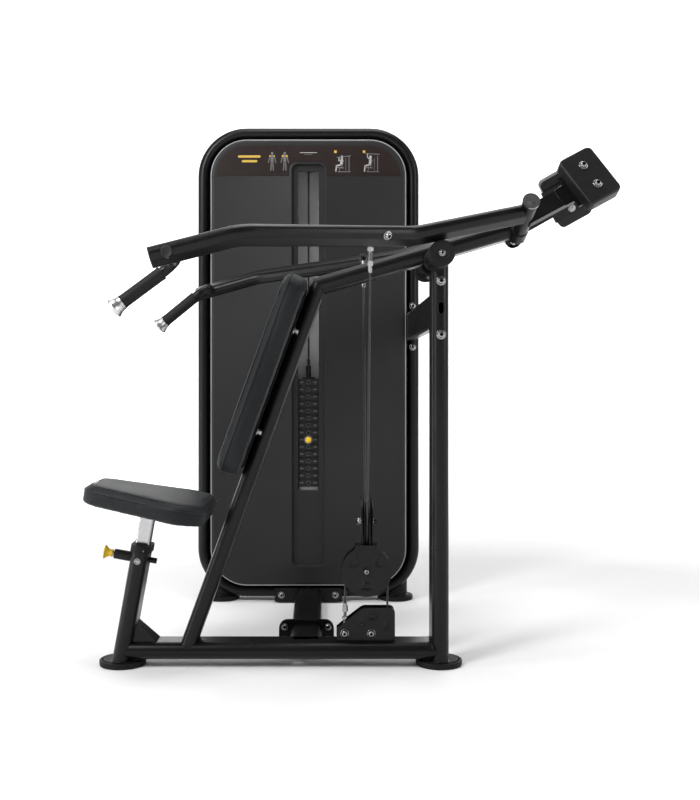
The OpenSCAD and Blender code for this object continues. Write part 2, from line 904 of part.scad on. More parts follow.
module back_pad() {
    color(pad_grey)
        back_frame()
            translate([-support_t / 2 - 6, 0, 5])
                rotate([0, -90, 0])
                    mirror([1, 0, 0]) {
                        linear_extrude(back_thick - 14) translate([back_len / 2, 0]) rounded(back_len, back_width, 28);
                        translate([back_len / 2, 0, back_thick - 14])
                            linear_extrude(14) rounded(back_len - 28, back_width - 28, 20);
                    }
}

module backing_board() {
    color(rubber)
        back_frame() {
            translate([-support_t / 2 - 6, -110, -back_len + 40]) cube([6, 220, back_len - 80]);
        }
    color(chrome)
        back_frame()
            for (z = [-145, -442], s = [-1, 1])
                translate([-support_t / 2, s * 74, z]) rotate([0, 90, 0]) {
                    cylinder(h = 4, r = 10);
                    translate([0, 0, 4]) cylinder(h = 10, r = 8, $fn = 6);
                }
}

// --- press arms, near side; the far side is its mirror image -----------------------------

// Local frame on the axle: Z outward along it, X away from the seat at the lever's angle
module lever_frame(s) {
    up = [0, sin(axle_tilt), cos(axle_tilt)];
    x = [cos(lever_rise), 0, 0] + up * sin(lever_rise);
    place(axle_point(s), axle_u, cross(axle_u, x)) children();
}

module near_arm() {
    color(frame_black)
        difference() {
            union() {
                swept(arm_route, 120, axle_u, arm_t, arm_w, 3, 0.01);
                swept(handle_route, 40, [0, 0, 1], 2 * handle_r, 2 * handle_r, 0, 0.01);
                place(axle_point(hub_in), axle_u, [1, 0, 0]) cylinder(h = hub_out - hub_in, r = hub_r);
                lever_frame(126) translate([0, -25, 0]) cube([160, 50, 22.5]);
                lever_frame(148) translate([weight_reach - 60, -50, 0]) cube([100, 100, 8]);
                cable_pin();
            }
            place(axle_point(hub_in - 1), axle_u, [1, 0, 0]) cylinder(h = hub_out - hub_in + 2, r = axle_r + 0.05);
        }
}

// Shoulder pin that carries the cable's rod end on the arm's inner side
module cable_pin() {
    place(eye, eye_axis, [0, 0, 1]) {
        difference() {
            translate([0, 0, -40]) cylinder(h = 48, r = 5);
        }
        translate([0, 0, 6.5]) cylinder(h = 4, r = 6.5);
    }
}

module near_grip() {
    start = grip_end - grip_dir * 128;
    color(rubber)
        place(start, grip_dir, [0, 1, 0])
            difference() {
                cylinder(h = 124, r = grip_r);
                translate([0, 0, -1]) cylinder(h = 140, r = handle_r + 0.02);
            }
}

module near_grip_cap() {
    start = grip_end - grip_dir * 4;
    color(chrome)
        place(start, grip_dir, [0, 1, 0])
            difference() {
                rotate_extrude() polygon([[0, 0], [19, 0], [19.5, 8], [22, 16], [26, 23], [26, 26], [20, 30], [0, 33]]);
                translate([0, 0, -1]) cylinder(h = 5, r = handle_r + 0.02);
            }
}

module near_counterweight() {
    color(frame_black)
        lever_frame(156) {
            translate([weight_reach, 0, 0]) linear_extrude(40) rounded(105, 155, 16);
            for (s = [-1, 1]) translate([weight_reach, s * 33, 40]) {
                cylinder(h = 2, r = 11);
                translate([0, 0, 2]) cylinder(h = 6, r = 8.5, $fn = 6);
            }
        }
}

function cable_foot() = [block_x, -58.9, upper_pulley_z - 11.5];

module near_rod_end() {
    d = unit(cable_foot() - eye);
    color(chrome) {
        difference() {
            union() {
                place(eye - unit(eye_axis) * 5, eye_axis, [0, 0, 1]) cylinder(h = 10, r = 14);
                place(eye + d * 10, d, [1, 0, 0]) cylinder(h = 66, r = 5);
            }
            place(eye - unit(eye_axis) * 50, eye_axis, [0, 0, 1]) cylinder(h = 100, r = 5.06);
        }
        place(eye + d * 26, d, [1, 0, 0]) cylinder(h = 9, r = 9, $fn = 6);
        place(eye + d * 62, d, [1, 0, 0]) cylinder(h = 12, r = 8, $fn = 6);
    }
}

module near_press_cable() {
    d = unit(cable_foot() - eye);
    length = norm(cable_foot() - eye);
    color(rubber) place(eye + d * 76, d, [1, 0, 0]) cylinder(h = length - 76 - 90, r = cable_r);
}

module far_arm() {
    mirror([0, 1, 0]) near_arm();
}

module far_grip() {
    mirror([0, 1, 0]) near_grip();
}

module far_grip_cap() {
    mirror([0, 1, 0]) near_grip_cap();
}

module far_counterweight() {
    mirror([0, 1, 0]) near_counterweight();
}

module far_rod_end() {
    mirror([0, 1, 0]) near_rod_end();
}

module far_press_cable() {
    mirror([0, 1, 0]) near_press_cable();
}

// --- drawing ---------------------------------------------------------------------------

base_tube();
seat_post_tube();
back_support_tube();
upper_frame_tube();
rear_post();
foot_plates();
foot_cups();
stop_stubs();
stop_bumpers();
pivot_carrier();
arm_axles();
connector_stub();
connector_beam();
upper_brace();
frame_bolts();
tower_loop();
front_shroud();
rear_shroud();
placard();
guide_rods();
stack_stand();
stack_cushions();
lower_plates();
pulley_brackets();
pulley_housing();
cable_anchor();
lift_cable();
anchor_cable_run();
base_cable_run();
stack_cable_run();
seat_collar();
pin_barrel();
back_pad();
backing_board();
pop_pin_knob();
seat_post();
seat_pad();
base_pulley();
turning_pulley();
tower_pulley();
top_pulley();
block_bracket();
block_upper_pulley();
block_lower_pulley();
block_cables();
lifted_plates();
selector_rod();
selector_pin();
near_arm();
near_grip();
near_grip_cap();
near_counterweight();
near_rod_end();
near_press_cable();
far_arm();
far_grip();
far_grip_cap();
far_counterweight();
far_rod_end();
far_press_cable();
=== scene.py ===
import math

import bmesh
import bpy
from mathutils import Matrix, Vector


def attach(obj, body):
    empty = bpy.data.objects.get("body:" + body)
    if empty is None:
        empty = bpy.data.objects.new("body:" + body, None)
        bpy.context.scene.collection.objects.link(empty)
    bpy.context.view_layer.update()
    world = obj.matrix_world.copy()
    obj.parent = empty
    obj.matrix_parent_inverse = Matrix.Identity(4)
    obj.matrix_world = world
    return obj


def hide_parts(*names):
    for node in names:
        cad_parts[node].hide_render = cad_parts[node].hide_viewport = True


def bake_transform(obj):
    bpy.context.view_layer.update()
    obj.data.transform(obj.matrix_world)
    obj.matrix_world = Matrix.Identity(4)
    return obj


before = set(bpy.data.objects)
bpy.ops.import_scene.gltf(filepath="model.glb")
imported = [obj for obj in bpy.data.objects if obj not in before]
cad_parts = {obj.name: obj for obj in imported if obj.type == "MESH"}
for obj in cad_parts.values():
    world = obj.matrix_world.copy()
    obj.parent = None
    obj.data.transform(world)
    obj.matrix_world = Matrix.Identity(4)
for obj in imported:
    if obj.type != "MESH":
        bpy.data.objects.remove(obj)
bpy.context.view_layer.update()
scene = bpy.context.scene
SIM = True

# ---- camera
cam_data = bpy.data.cameras.new("camera")
cam = bpy.data.objects.new("camera", cam_data)
scene.collection.objects.link(cam)
cam.location = (-0.343, -2.84, 0.787)
cam.rotation_euler = (math.radians(90), 0, 0)
cam_data.lens = 45
cam_data.sensor_width = 36
cam_data.shift_x = 0.04
cam_data.shift_y = -0.01625
scene.camera = cam


# ---- materials
def principled(name):
    """New material, its node tree and its shader."""
    m = bpy.data.materials.new(name)
    m.use_nodes = True
    nt = m.node_tree
    return m, nt, nt.nodes["Principled BSDF"]


def noise(nt, scale, detail=3.0, rough=0.5, stretch=None):
    """Noise in the object's own space; stretch scales it differently along each axis."""
    coord = nt.nodes.new("ShaderNodeTexCoord")
    tex = nt.nodes.new("ShaderNodeTexNoise")
    tex.inputs["Scale"].default_value = scale
    tex.inputs["Detail"].default_value = detail
    tex.inputs["Roughness"].default_value = rough
    if stretch:
        mp = nt.nodes.new("ShaderNodeMapping")
        mp.inputs["Scale"].default_value = stretch
        nt.links.new(coord.outputs["Object"], mp.inputs["Vector"])
        nt.links.new(mp.outputs["Vector"], tex.inputs["Vector"])
    else:
        nt.links.new(coord.outputs["Object"], tex.inputs["Vector"])
    return tex


def ramp(nt, source, c0, c1, p0=0.35, p1=0.65):
    """Colour that runs from c0 to c1 as the source goes from p0 to p1."""
    r = nt.nodes.new("ShaderNodeValToRGB")
    r.color_ramp.elements[0].position = p0
    r.color_ramp.elements[1].position = p1
    r.color_ramp.elements[0].color = (*c0, 1)
    r.color_ramp.elements[1].color = (*c1, 1)
    nt.links.new(source, r.inputs["Fac"])
    return r.outputs["Color"]


def spread(nt, source, lo, hi):
    """Stretches a source of 0 to 1 over lo to hi."""
    r = nt.nodes.new("ShaderNodeMapRange")
    r.inputs["To Min"].default_value = lo
    r.inputs["To Max"].default_value = hi
    nt.links.new(source, r.inputs["Value"])
    return r.outputs["Result"]


def bump(nt, bsdf, height, strength, distance, before=None):
    """Adds a bump to the shader, on top of an earlier one where before is given."""
    b = nt.nodes.new("ShaderNodeBump")
    b.inputs["Strength"].default_value = strength
    b.inputs["Distance"].default_value = distance
    nt.links.new(height, b.inputs["Height"])
    if before:
        nt.links.new(before, b.inputs["Normal"])
    nt.links.new(b.outputs["Normal"], bsdf.inputs["Normal"])
    return b.outputs["Normal"]


def coated(name, base, rough=0.42, grain=900, lift=0.35, spec=0.3, coat=0.0, patch=5.0):
    """Painted or moulded surface: faint patches, speckle in the gloss and a fine orange-peel."""
    m, nt, b = principled(name)
    patches = noise(nt, patch, 4)
    dark = tuple(c * 0.8 for c in base)
    light = tuple(min(1, c * 1.22) for c in base)
    nt.links.new(ramp(nt, patches.outputs["Fac"], dark, light, 0.3, 0.7), b.inputs["Base Color"])
    speck = noise(nt, grain, 2)
    gloss = noise(nt, 38, 5)
    nt.links.new(spread(nt, gloss.outputs["Fac"], rough - 0.08, rough + 0.1), b.inputs["Roughness"])
    bump(nt, b, speck.outputs["Fac"], lift, 0.0004)
    b.inputs["Specular IOR Level"].default_value = spec
    b.inputs["Coat Weight"].default_value = coat
    b.inputs["Coat Roughness"].default_value = 0.3
    return m


def metal(name, base, rough, stretch=None, scale=60, wear=0.06):
    """Bare or plated metal, whose gloss and shade wander by wear."""
    m, nt, b = principled(name)
    n = noise(nt, scale, 4, 0.6, stretch)
    dark = tuple(c * 0.86 for c in base)
    nt.links.new(ramp(nt, n.outputs["Fac"], dark, base), b.inputs["Base Color"])
    gloss = spread(nt, n.outputs["Fac"], max(0.03, rough - wear), rough + wear)
    nt.links.new(gloss, b.inputs["Roughness"])
    bump(nt, b, n.outputs["Fac"], 0.08, 0.0003)
    b.inputs["Metallic"].default_value = 1.0
    return m


def leather(name, base):
    """Pad vinyl: warped cells for the grain, over slow waves."""
    m, nt, b = principled(name)
    coord = nt.nodes.new("ShaderNodeTexCoord")
    cells = nt.nodes.new("ShaderNodeTexVoronoi")
    cells.feature = "DISTANCE_TO_EDGE"
    cells.inputs["Scale"].default_value = 620
    warp = noise(nt, 150, 3)
    mix = nt.nodes.new("ShaderNodeVectorMath")
    mix.operation = "MULTIPLY_ADD"
    nt.links.new(warp.outputs["Color"], mix.inputs[0])
    mix.inputs[1].default_value = (0.002, 0.002, 0.002)
    nt.links.new(coord.outputs["Object"], mix.inputs[2])
    nt.links.new(mix.outputs["Vector"], cells.inputs["Vector"])
    patches = noise(nt, 7, 4)
    dark = tuple(c * 0.82 for c in base)
    light = tuple(c * 1.2 for c in base)
    nt.links.new(ramp(nt, patches.outputs["Fac"], dark, light), b.inputs["Base Color"])
    nt.links.new(spread(nt, patches.outputs["Fac"], 0.44, 0.58), b.inputs["Roughness"])
    first = bump(nt, b, spread(nt, cells.outputs["Distance"], 0.0, 1.0), 0.35, 0.0006)
    slow = noise(nt, 34, 3)
    bump(nt, b, slow.outputs["Fac"], 0.12, 0.002, first)
    b.inputs["Sheen Weight"].default_value = 0.02
    b.inputs["Sheen Roughness"].default_value = 0.5
    b.inputs["Specular IOR Level"].default_value = 0.2
    return m


def cable_coat(name):
    """Black jacket of a wire rope, with the lay of its strands showing."""
    m, nt, b = principled(name)
    coord = nt.nodes.new("ShaderNodeTexCoord")
    wave = nt.nodes.new("ShaderNodeTexWave")
    wave.bands_direction = "DIAGONAL"
    wave.inputs["Scale"].default_value = 120
    wave.inputs["Distortion"].default_value = 0.6
    nt.links.new(coord.outputs["Object"], wave.inputs["Vector"])
    colour = ramp(nt, wave.outputs["Fac"], (0.006, 0.006, 0.007), (0.02, 0.02, 0.022))
    nt.links.new(colour, b.inputs["Base Color"])
    b.inputs["Roughness"].default_value = 0.38
    bump(nt, b, wave.outputs["Fac"], 0.5, 0.0008)
    return m


MAT = {
    "coat": coated("powder_coat", (0.0030, 0.0031, 0.0034), 0.3, 1300, 0.18, 0.24),
    "shroud": coated("shroud_coat", (0.0135, 0.0137, 0.0142), 0.46, 1500, 0.28, 0.26, patch=2.2),
    "rubber": coated("foot_rubber", (0.0045, 0.0045, 0.0048), 0.6, 520, 0.5, 0.22),
    "grip": coated("grip_rubber", (0.0050, 0.0050, 0.0053), 0.54, 700, 0.5, 0.24),
    "nylon": coated("pulley_nylon", (0.0052, 0.0052, 0.0055), 0.4, 420, 0.25, 0.26),
    "plates": coated("plate_paint", (0.0062, 0.0062, 0.0066), 0.4, 800, 0.35, 0.28),
    "placard": coated("placard_film", (0.0125, 0.0068, 0.0062), 0.4, 300, 0.04, 0.26),
    "yellow": coated("yellow_plastic", (0.72, 0.47, 0.035), 0.36, 260, 0.12),
    "white": coated("white_print", (0.34, 0.335, 0.33), 0.5, 200, 0.05),
    "print": coated("grey_print", (0.115, 0.112, 0.11), 0.5, 200, 0.05),
    "gold": coated("yellow_print", (0.46, 0.30, 0.05), 0.5, 200, 0.05),
    "pad": leather("pad_vinyl", (0.0066, 0.0078, 0.0092)),
    "piping": leather("piping_vinyl", (0.0125, 0.0142, 0.0160)),
    # Light grey of the tube on the shroud's edge: a painted highlight of the rounded edge
    "rim_highlight": coated("painted_rim_highlight", (0.26, 0.26, 0.265), 0.34, 600, 0.1, 0.45),
    "rest": coated("stack_rest_grey", (0.2, 0.2, 0.2), 0.5, 200, 0.05),
    "plug": coated("end_plug", (0.0100, 0.0100, 0.0106), 0.5, 500, 0.2, 0.3),
    "mark": coated("plate_print", (0.10, 0.10, 0.10), 0.5, 200, 0.05),
    # Matte near-black: the backing board's own colour, and painted shade in bolt sockets and plate holes
    "dark": coated("matte_black_and_painted_shade", (0.0022, 0.0022, 0.0023), 0.75, 300, 0.2, 0.1),
    # Pale grey for the panels in the window: painted light showing through from behind
    "painted_backlight": coated("painted_backlight_film", (0.66, 0.66, 0.67), 0.42, 500, 0.1, 0.4),
    "chrome": metal("chrome_plate", (0.44, 0.44, 0.45), 0.16),
    "rod": metal("polished_rod", (0.5, 0.5, 0.51), 0.2, (1, 1, 0.02), 300),
    "steel": metal("turned_steel", (0.42, 0.42, 0.43), 0.3, (1, 1, 12), 90),
    "zinc": metal("zinc_plate", (0.33, 0.33, 0.34), 0.24, None, 140, 0.06),
    "alu": metal("polished_aluminium", (0.60, 0.602, 0.61), 0.3, (1, 1, 1), 40, 0.02),
    "cable": cable_coat("cable_coat"),
}

NODE_MAT = {
    "foot_cups": "rubber", "foot_plates": "rubber", "stop_bumpers": "rubber",
    "stack_cushions": "rubber", "seat_collar": "rubber",
    "pin_barrel": "nylon", "backing_board": "dark", "near_grip": "grip", "far_grip": "grip",
    "arm_axles": "zinc", "frame_bolts": "zinc", "guide_rods": "rod", "cable_anchor": "zinc",
    "near_rod_end": "zinc", "far_rod_end": "zinc", "seat_post": "chrome", "front_shroud": "shroud",
    "rear_shroud": "shroud", "selector_rod": "plates", "back_pad": "pad", "seat_pad": "pad",
    "pop_pin_knob": "yellow", "selector_pin": "yellow", "placard": "placard", "lifted_plates": "plates",
    "lower_plates": "plates", "near_grip_cap": "alu", "far_grip_cap": "alu",
}
for n in ("lift_cable", "anchor_cable_run", "base_cable_run", "stack_cable_run", "near_press_cable",
          "far_press_cable", "block_cables"):
    NODE_MAT[n] = "cable"
for n in ("base_pulley", "turning_pulley", "tower_pulley", "top_pulley", "block_upper_pulley",
          "block_lower_pulley"):
    NODE_MAT[n] = "nylon"


def smooth(obj, angle=32):
    """Smooth shading, with edges sharper than the angle kept sharp."""
    me = obj.data
    for p in me.polygons:
        p.use_smooth = True
    me.set_sharp_from_angle(angle=math.radians(angle))


for name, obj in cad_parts.items():
    obj.data.materials.clear()
    obj.data.materials.append(MAT[NODE_MAT.get(name, "coat")])
    smooth(obj)


# ---- mesh helpers
def new_object(name, bm, mat, body="frame", smooth_angle=40):
    """Turns a bmesh into a piece with a material and a body to ride on."""
    me = bpy.data.meshes.new(name)
    bmesh.ops.recalc_face_normals(bm, faces=bm.faces[:])
    bm.to_mesh(me)
    bm.free()
    obj = bpy.data.objects.new(name, me)
    scene.collection.objects.link(obj)
    me.materials.append(MAT[mat])
    # Faces marked 1, the bolt sockets, take the near-black material as painted shade
    if any(p.material_index for p in me.polygons):
        me.materials.append(MAT["dark"])
    smooth(obj, smooth_angle)
    if body:
        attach(obj, body)
    return obj


def axes(origin, zdir, ydir=(0, 0, 1)):
    """Matrix whose Z runs along zdir and whose Y is as near to ydir as it can be."""
    z = Vector(zdir).normalized()
    y = Vector(ydir)
    y = y - z * y.dot(z)
    if y.length < 1e-6:
        y = Vector((1, 0, 0)) - z * z.x
    y.normalize()
    x = y.cross(z)
    m = Matrix((x, y, z)).transposed().to_4x4()
    m.translation = Vector(origin)
    return m


def lathe(bm, matrix, profile, steps=48, sides=None):
    """Turns (radius, height) points about the matrix's Z. The points numbered in sides get a hexagon."""
    rings = []
    for i, (r, h) in enumerate(profile):
        ring = []
        if r < 1e-7:
            ring = [bm.verts.new(matrix @ Vector((0, 0, h)))]
        else:
            for k in range(steps):
                a = 2 * math.pi * k / steps
                rr = r
                if sides and i in sides:
                    part = 2 * math.pi / 6
                    rr = r * math.cos(part / 2) / math.cos((a % part) - part / 2)
                ring.append(bm.verts.new(matrix @ Vector((rr * math.cos(a), rr * math.sin(a), h))))
        rings.append(ring)
    for a, b in zip(rings, rings[1:]):
        if len(a) == 1 and len(b) == 1:
            continue
        if len(a) == 1:
            for k in range(steps):
                bm.faces.new((a[0], b[k], b[(k + 1) % steps]))
        elif len(b) == 1:
            for k in range(steps):
                bm.faces.new((a[k], b[0], a[(k + 1) % steps]))
        else:
            for k in range(steps):
                bm.faces.new((a[k], b[k], b[(k + 1) % steps], a[(k + 1) % steps]))
    return rings


def mm(*points):
    """Points of a profile, given in millimetres."""
    return [(x / 1000, y / 1000) for x, y in points]


def tube_along(bm, points, radius, steps=12, closed=False):
    """Round tube along points."""
    pts = [Vector(p) for p in points]
    n = len(pts)
    rings = []
    up = None
    for i, p in enumerate(pts):
        if closed:
            d = (pts[(i + 1) % n] - pts[i - 1]).normalized()
        else:
            d = (pts[min(i + 1, n - 1)] - pts[max(i - 1, 0)]).normalized()
        if up is None:
            up = Vector((0, 0, 1)) if abs(d.z) < 0.9 else Vector((1, 0, 0))
        x = (up - d * up.dot(d)).normalized()
        up = x
        y = d.cross(x)
        rings.append([bm.verts.new(p + (x * math.cos(a) + y * math.sin(a)) * radius)
                      for a in (2 * math.pi * k / steps for k in range(steps))])
    pairs = list(zip(rings, rings[1:]))
    if closed:
        # line the last ring up with the first
        best = min(range(steps), key=lambda s: (rings[-1][s].co - rings[0][0].co).length)
        last = rings[-1][best:] + rings[-1][:best]
        pairs = list(zip(rings[:-1], rings[1:]))
        for k in range(steps):
            bm.faces.new((last[k], last[(k + 1) % steps], rings[0][(k + 1) % steps], rings[0][k]))
    for a, b in pairs:
        for k in range(steps):
            bm.faces.new((a[k], a[(k + 1) % steps], b[(k + 1) % steps], b[k]))
    if not closed:
        bm.faces.new(rings[0][::-1])
        bm.faces.new(rings[-1])


def rounded_outline(w, h, r, steps=12, cx=0.0, cy=0.0):
    """Points of a rectangle with round corners, anticlockwise, with 4 * (steps + 1) points."""
    r = max(r, 1e-5)
    out = []
    for (sx, sy, a0) in ((1, 1, 0), (-1, 1, 90), (-1, -1, 180), (1, -1, 270)):
        for k in range(steps + 1):
            a = math.radians(a0 + 90 * k / steps)
            out.append((cx + sx * (w / 2 - r) + r * math.cos(a), cy + sy * (h / 2 - r) + r * math.sin(a)))
    return out


def bridge(bm, a, b):
    n = len(a)
    for k in range(n):
        bm.faces.new((a[k], a[(k + 1) % n], b[(k + 1) % n], b[k]))


def shell(bm, layers, to_world, cap_first=False, cap_last=False):
    """Joins outlines with the same number of points into one skin. Each layer is (outline, height)."""
    rings = [[bm.verts.new(to_world @ Vector((x, y, h))) for x, y in outline] for outline, h in layers]
    for a, b in zip(rings, rings[1:]):
        bridge(bm, a, b)
    if cap_first:
        bm.faces.new(rings[0][::-1])
    if cap_last:
        bm.faces.new(rings[-1])
    return rings


def blob(name, outline, low, high, edge, matrix, mat, body, steps=5, edge_low=None):
    """Solid with rounded edges: an outline function of the inset, between two heights."""
    bm = bmesh.new()
    lowr = edge if edge_low is None else edge_low
    layers = []
    for k in range(steps + 1):
        a = math.radians(90 * k / steps)
        layers.append((outline(lowr * (1 - math.sin(a))), low + lowr * (1 - math.cos(a))))
    for k in range(steps + 1):
        a = math.radians(90 * k / steps)
        layers.append((outline(edge * (1 - math.cos(a))), high - edge * (1 - math.sin(a))))
    shell(bm, layers, matrix, True, True)
    return new_object(name, bm, mat, body)


BOLT_STEPS = 48


def bolt(bm, origin, direction, r, height=None, washer=True):
    """Button head with a socket, standing on its washer."""
    h = height or r * 0.75
    m = axes(origin, direction)
    prof = []
    if washer:
        prof += [(r * 1.12, 0.0), (r * 1.15, r * 0.04), (r * 1.15, r * 0.16), (r * 1.1, r * 0.2),
                 (r * 0.9, r * 0.2)]
    base = r * 0.2 if washer else 0.0
    prof += [(r * 0.88, base + 0.0002), (r * 0.87, base + h * 0.35), (r * 0.8, base + h * 0.72),
             (r * 0.66, base + h * 0.93), (r * 0.54, base + h), (r * 0.44, base + h),
             (r * 0.42, base + h * 0.92), (r * 0.42, base + h * 0.25), (0, base + h * 0.2)]
    socket = len(prof) - 4
    before = len(bm.faces)
    lathe(bm, m, prof, BOLT_STEPS, {socket, socket + 1, socket + 2})
    # The socket's walls and floor take the second, dark material: painted shade in the socket
    bm.faces.ensure_lookup_table()
    for f in bm.faces[before + BOLT_STEPS * (socket + 1):]:
        f.material_index = 1


def nut(bm, origin, direction, r, height=None):
    """Hexagon nut on its washer, with the thread's end standing out."""
    h = height or r * 0.8
    m = axes(origin, direction)
    lathe(bm, m, [(r * 1.25, 0), (r * 1.25, r * 0.15), (r * 1.03, r * 0.15), (r * 1.08, r * 0.25),
                  (r * 1.12, h * 0.85), (r * 0.95, h), (r * 0.56, h), (r * 0.54, h * 1.25),
                  (r * 0.45, h * 1.32), (0, h * 1.32)], BOLT_STEPS, {3, 4})


# ---- sizes shared with the CAD
def rot_y(deg, origin):
    m = Matrix.Rotation(math.radians(deg), 4, "Y")
    m.translation = Vector(origin)
    return m


RISE = 16.17
MX = -0.3415
MZ = 1.171 - 0.3415 * math.tan(math.radians(RISE))
LEAN = 19.93
BACK = rot_y(LEAN, (MX, 0, MZ))
SEAT_LEAN = 10.1
SEAT = rot_y(SEAT_LEAN, (-0.897 + 0.420 * math.tan(math.radians(SEAT_LEAN)), 0, 0.438))
TX = -0.378
STACK_Y = 0.868
ANCHOR_X = -0.266
TILT = math.radians(20)
AXLE_O = Vector((0.217, 0, 1.1966))


def axle_u(s):
    return Vector((0, s * math.cos(TILT), math.sin(TILT)))


# ---- pads
def cloth_pad(obj, voxel, pressure, cap, frames=20):
    """Inflates a closed form a little, so its skin pulls in at the corners and crowns on its faces."""
    if SIM:
        md = obj.modifiers.new("remesh", "REMESH")
        md.mode = "VOXEL"
        md.voxel_size = voxel
        bpy.context.view_layer.objects.active = obj
        obj.select_set(True)
        bpy.ops.object.modifier_apply(modifier="remesh")
        rest = [v.co.copy() for v in obj.data.vertices]
        cl = obj.modifiers.new("cloth", "CLOTH")
        cl.settings.use_pressure = True
        cl.settings.uniform_pressure_force = pressure
        cl.settings.quality = 5
        cl.settings.mass = 0.3
        cl.settings.tension_stiffness = 25
        cl.settings.compression_stiffness = 25
        cl.settings.shear_stiffness = 12
        cl.settings.bending_stiffness = 4
        cl.settings.effector_weights.gravity = 0
        cl.point_cache.frame_start = 1
        cl.point_cache.frame_end = frames
        for f in range(1, frames + 1):
            scene.frame_set(f)
        dg = bpy.context.evaluated_depsgraph_get()
        ev = obj.evaluated_get(dg).to_mesh()
        moved = [v.co.copy() for v in ev.vertices]
        obj.evaluated_get(dg).to_mesh_clear()
        obj.modifiers.remove(cl)
        scene.frame_set(1)
        for v, a, b in zip(obj.data.vertices, rest, moved):
            d = b - a
            if d.length > cap:
                d = d * (cap / d.length)
            v.co = a + d
        sm = obj.modifiers.new("even", "SMOOTH")
        sm.factor = 0.5
        sm.iterations = 2
        bpy.ops.object.modifier_apply(modifier="even")
        obj.select_set(False)
    sub = obj.modifiers.new("fine", "SUBSURF")
    sub.levels = 1
    sub.render_levels = 1
    for p in obj.data.polygons:
        p.use_smooth = True
    return obj


def pad_mesh(name, layers, matrix):
    bm = bmesh.new()
    shell(bm, layers, matrix, True, True)
    bmesh.ops.triangulate(bm, faces=[f for f in bm.faces if len(f.verts) > 4])
    bmesh.ops.recalc_face_normals(bm, faces=bm.faces[:])
    me = bpy.data.meshes.new(name)
    bm.to_mesh(me)
    bm.free()
    obj = bpy.data.objects.new(name, me)
    scene.collection.objects.link(obj)
    me.materials.append(MAT["pad"])
    return obj


# Back pad: local Z of the layers runs out of the pad's front
BACK_PAD = BACK @ Matrix.Translation((-0.028, 0, -0.2875)) @ Matrix(
    ((0, 0, -1, 0), (-1, 0, 0, 0), (0, 1, 0, 0), (0, 0, 0, 1)))


def back_outline(inset, steps=12):
    """Plan of the back pad: straight sides, chamfered corners with a small radius."""
    w, h, c = 0.272 - 2 * inset, 0.577 - 2 * inset, 0.030
    c = max(c - 0.4 * inset, 0.012)
    pts = []
    for sx, sy in ((1, 1), (-1, 1), (-1, -1), (1, -1)):
        a = Vector((sx * w / 2, sy * (h / 2 - c)))
        b = Vector((sx * (w / 2 - c), sy * h / 2))
        corner = [a + (b - a) * (k / steps) for k in range(steps + 1)]
        out = []
        for k, p in enumerate(corner):
            t = k / steps
            bulge = math.sin(math.pi * t) * c * 0.12
            out.append(p + Vector((sx, sy)).normalized() * bulge)
        if (sx, sy) in ((-1, 1), (1, -1)):
            out = out[::-1]
        pts += [(p.x, p.y) for p in out]
    return pts


layers = [(back_outline(0.006), 0.001), (back_outline(0.001), 0.004), (back_outline(0.0), 0.010),
          (back_outline(0.0), 0.030), (back_outline(0.0), 0.047), (back_outline(0.0005), 0.050),
          (back_outline(0.006), 0.0565), (back_outline(0.013), 0.0625), (back_outline(0.017), 0.0645),
          (back_outline(0.05), 0.0655), (back_outline(0.09), 0.066)]
back = pad_mesh("back_cushion", layers, BACK_PAD)
cloth_pad(back, 0.0048, 2.2, 0.0028)
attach(back, "frame")
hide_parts("back_pad")


def outline_seam(name, outline, height, radius, matrix, mat, body):
    bm = bmesh.new()
    tube_along(bm, [matrix @ Vector((x, y, height)) for x, y in outline], radius, 8, True)
    o = new_object(name, bm, mat, body)
    return o


outline_seam("back_seam_front", back_outline(0.0165), 0.0648, 0.0011, BACK_PAD, "piping", "frame")
outline_seam("back_seam_side", back_outline(-0.0008), 0.0485, 0.0012, BACK_PAD, "piping", "frame")


# Seat pad: layers run up from its plate
def seat_outline(inset, steps=12, half_front=0.132, half_rear=0.204):
    """Plan of the seat: narrow front, wide rear, round corners."""
    r1, r2 = 0.055, 0.075
    x0, x1 = -0.179 + 0.003 + r1, 0.179 - 0.003 - r2
    y0, y1 = half_front - r1, half_rear - r2
    d = math.hypot(x1 - x0, y1 - y0)
    lean = math.atan2(y1 - y0, x1 - x0)
    off = math.asin((r2 - r1) / d)
    side = math.degrees(lean + off) + 90
    a1, a2 = max(r1 - inset, 0.004), max(r2 - inset, 0.004)
    pts = []
    for cx, cy, r, start, end in ((x1, y1, a2, 0, side), (x0, y0, a1, side, 180),
                                  (x0, -y0, a1, 180, 360 - side), (x1, -y1, a2, 360 - side, 360)):
        for k in range(steps + 1):
            a = math.radians(start + (end - start) * k / steps)
            pts.append((cx + r * math.cos(a), cy + r * math.sin(a)))
    return pts


layers = [(seat_outline(0.008), 0.001), (seat_outline(0.002), 0.0035), (seat_outline(0.0), 0.009),
          (seat_outline(0.0), 0.024), (seat_outline(0.0), 0.038), (seat_outline(0.001), 0.0405),
          (seat_outline(0.006), 0.0465), (seat_outline(0.012), 0.0515), (seat_outline(0.017), 0.0535),
          (seat_outline(0.03), 0.0545), (seat_outline(0.05), 0.055)]
seat = pad_mesh("seat_cushion", layers, SEAT)
cloth_pad(seat, 0.0045, 2.4, 0.0028)
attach(seat, "seat")
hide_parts("seat_pad")
outline_seam("seat_seam_top", seat_outline(0.0165), 0.0542, 0.0011, SEAT, "piping", "seat")
outline_seam("seat_seam_side", seat_outline(-0.0006), 0.0392, 0.0012, SEAT, "piping", "seat")

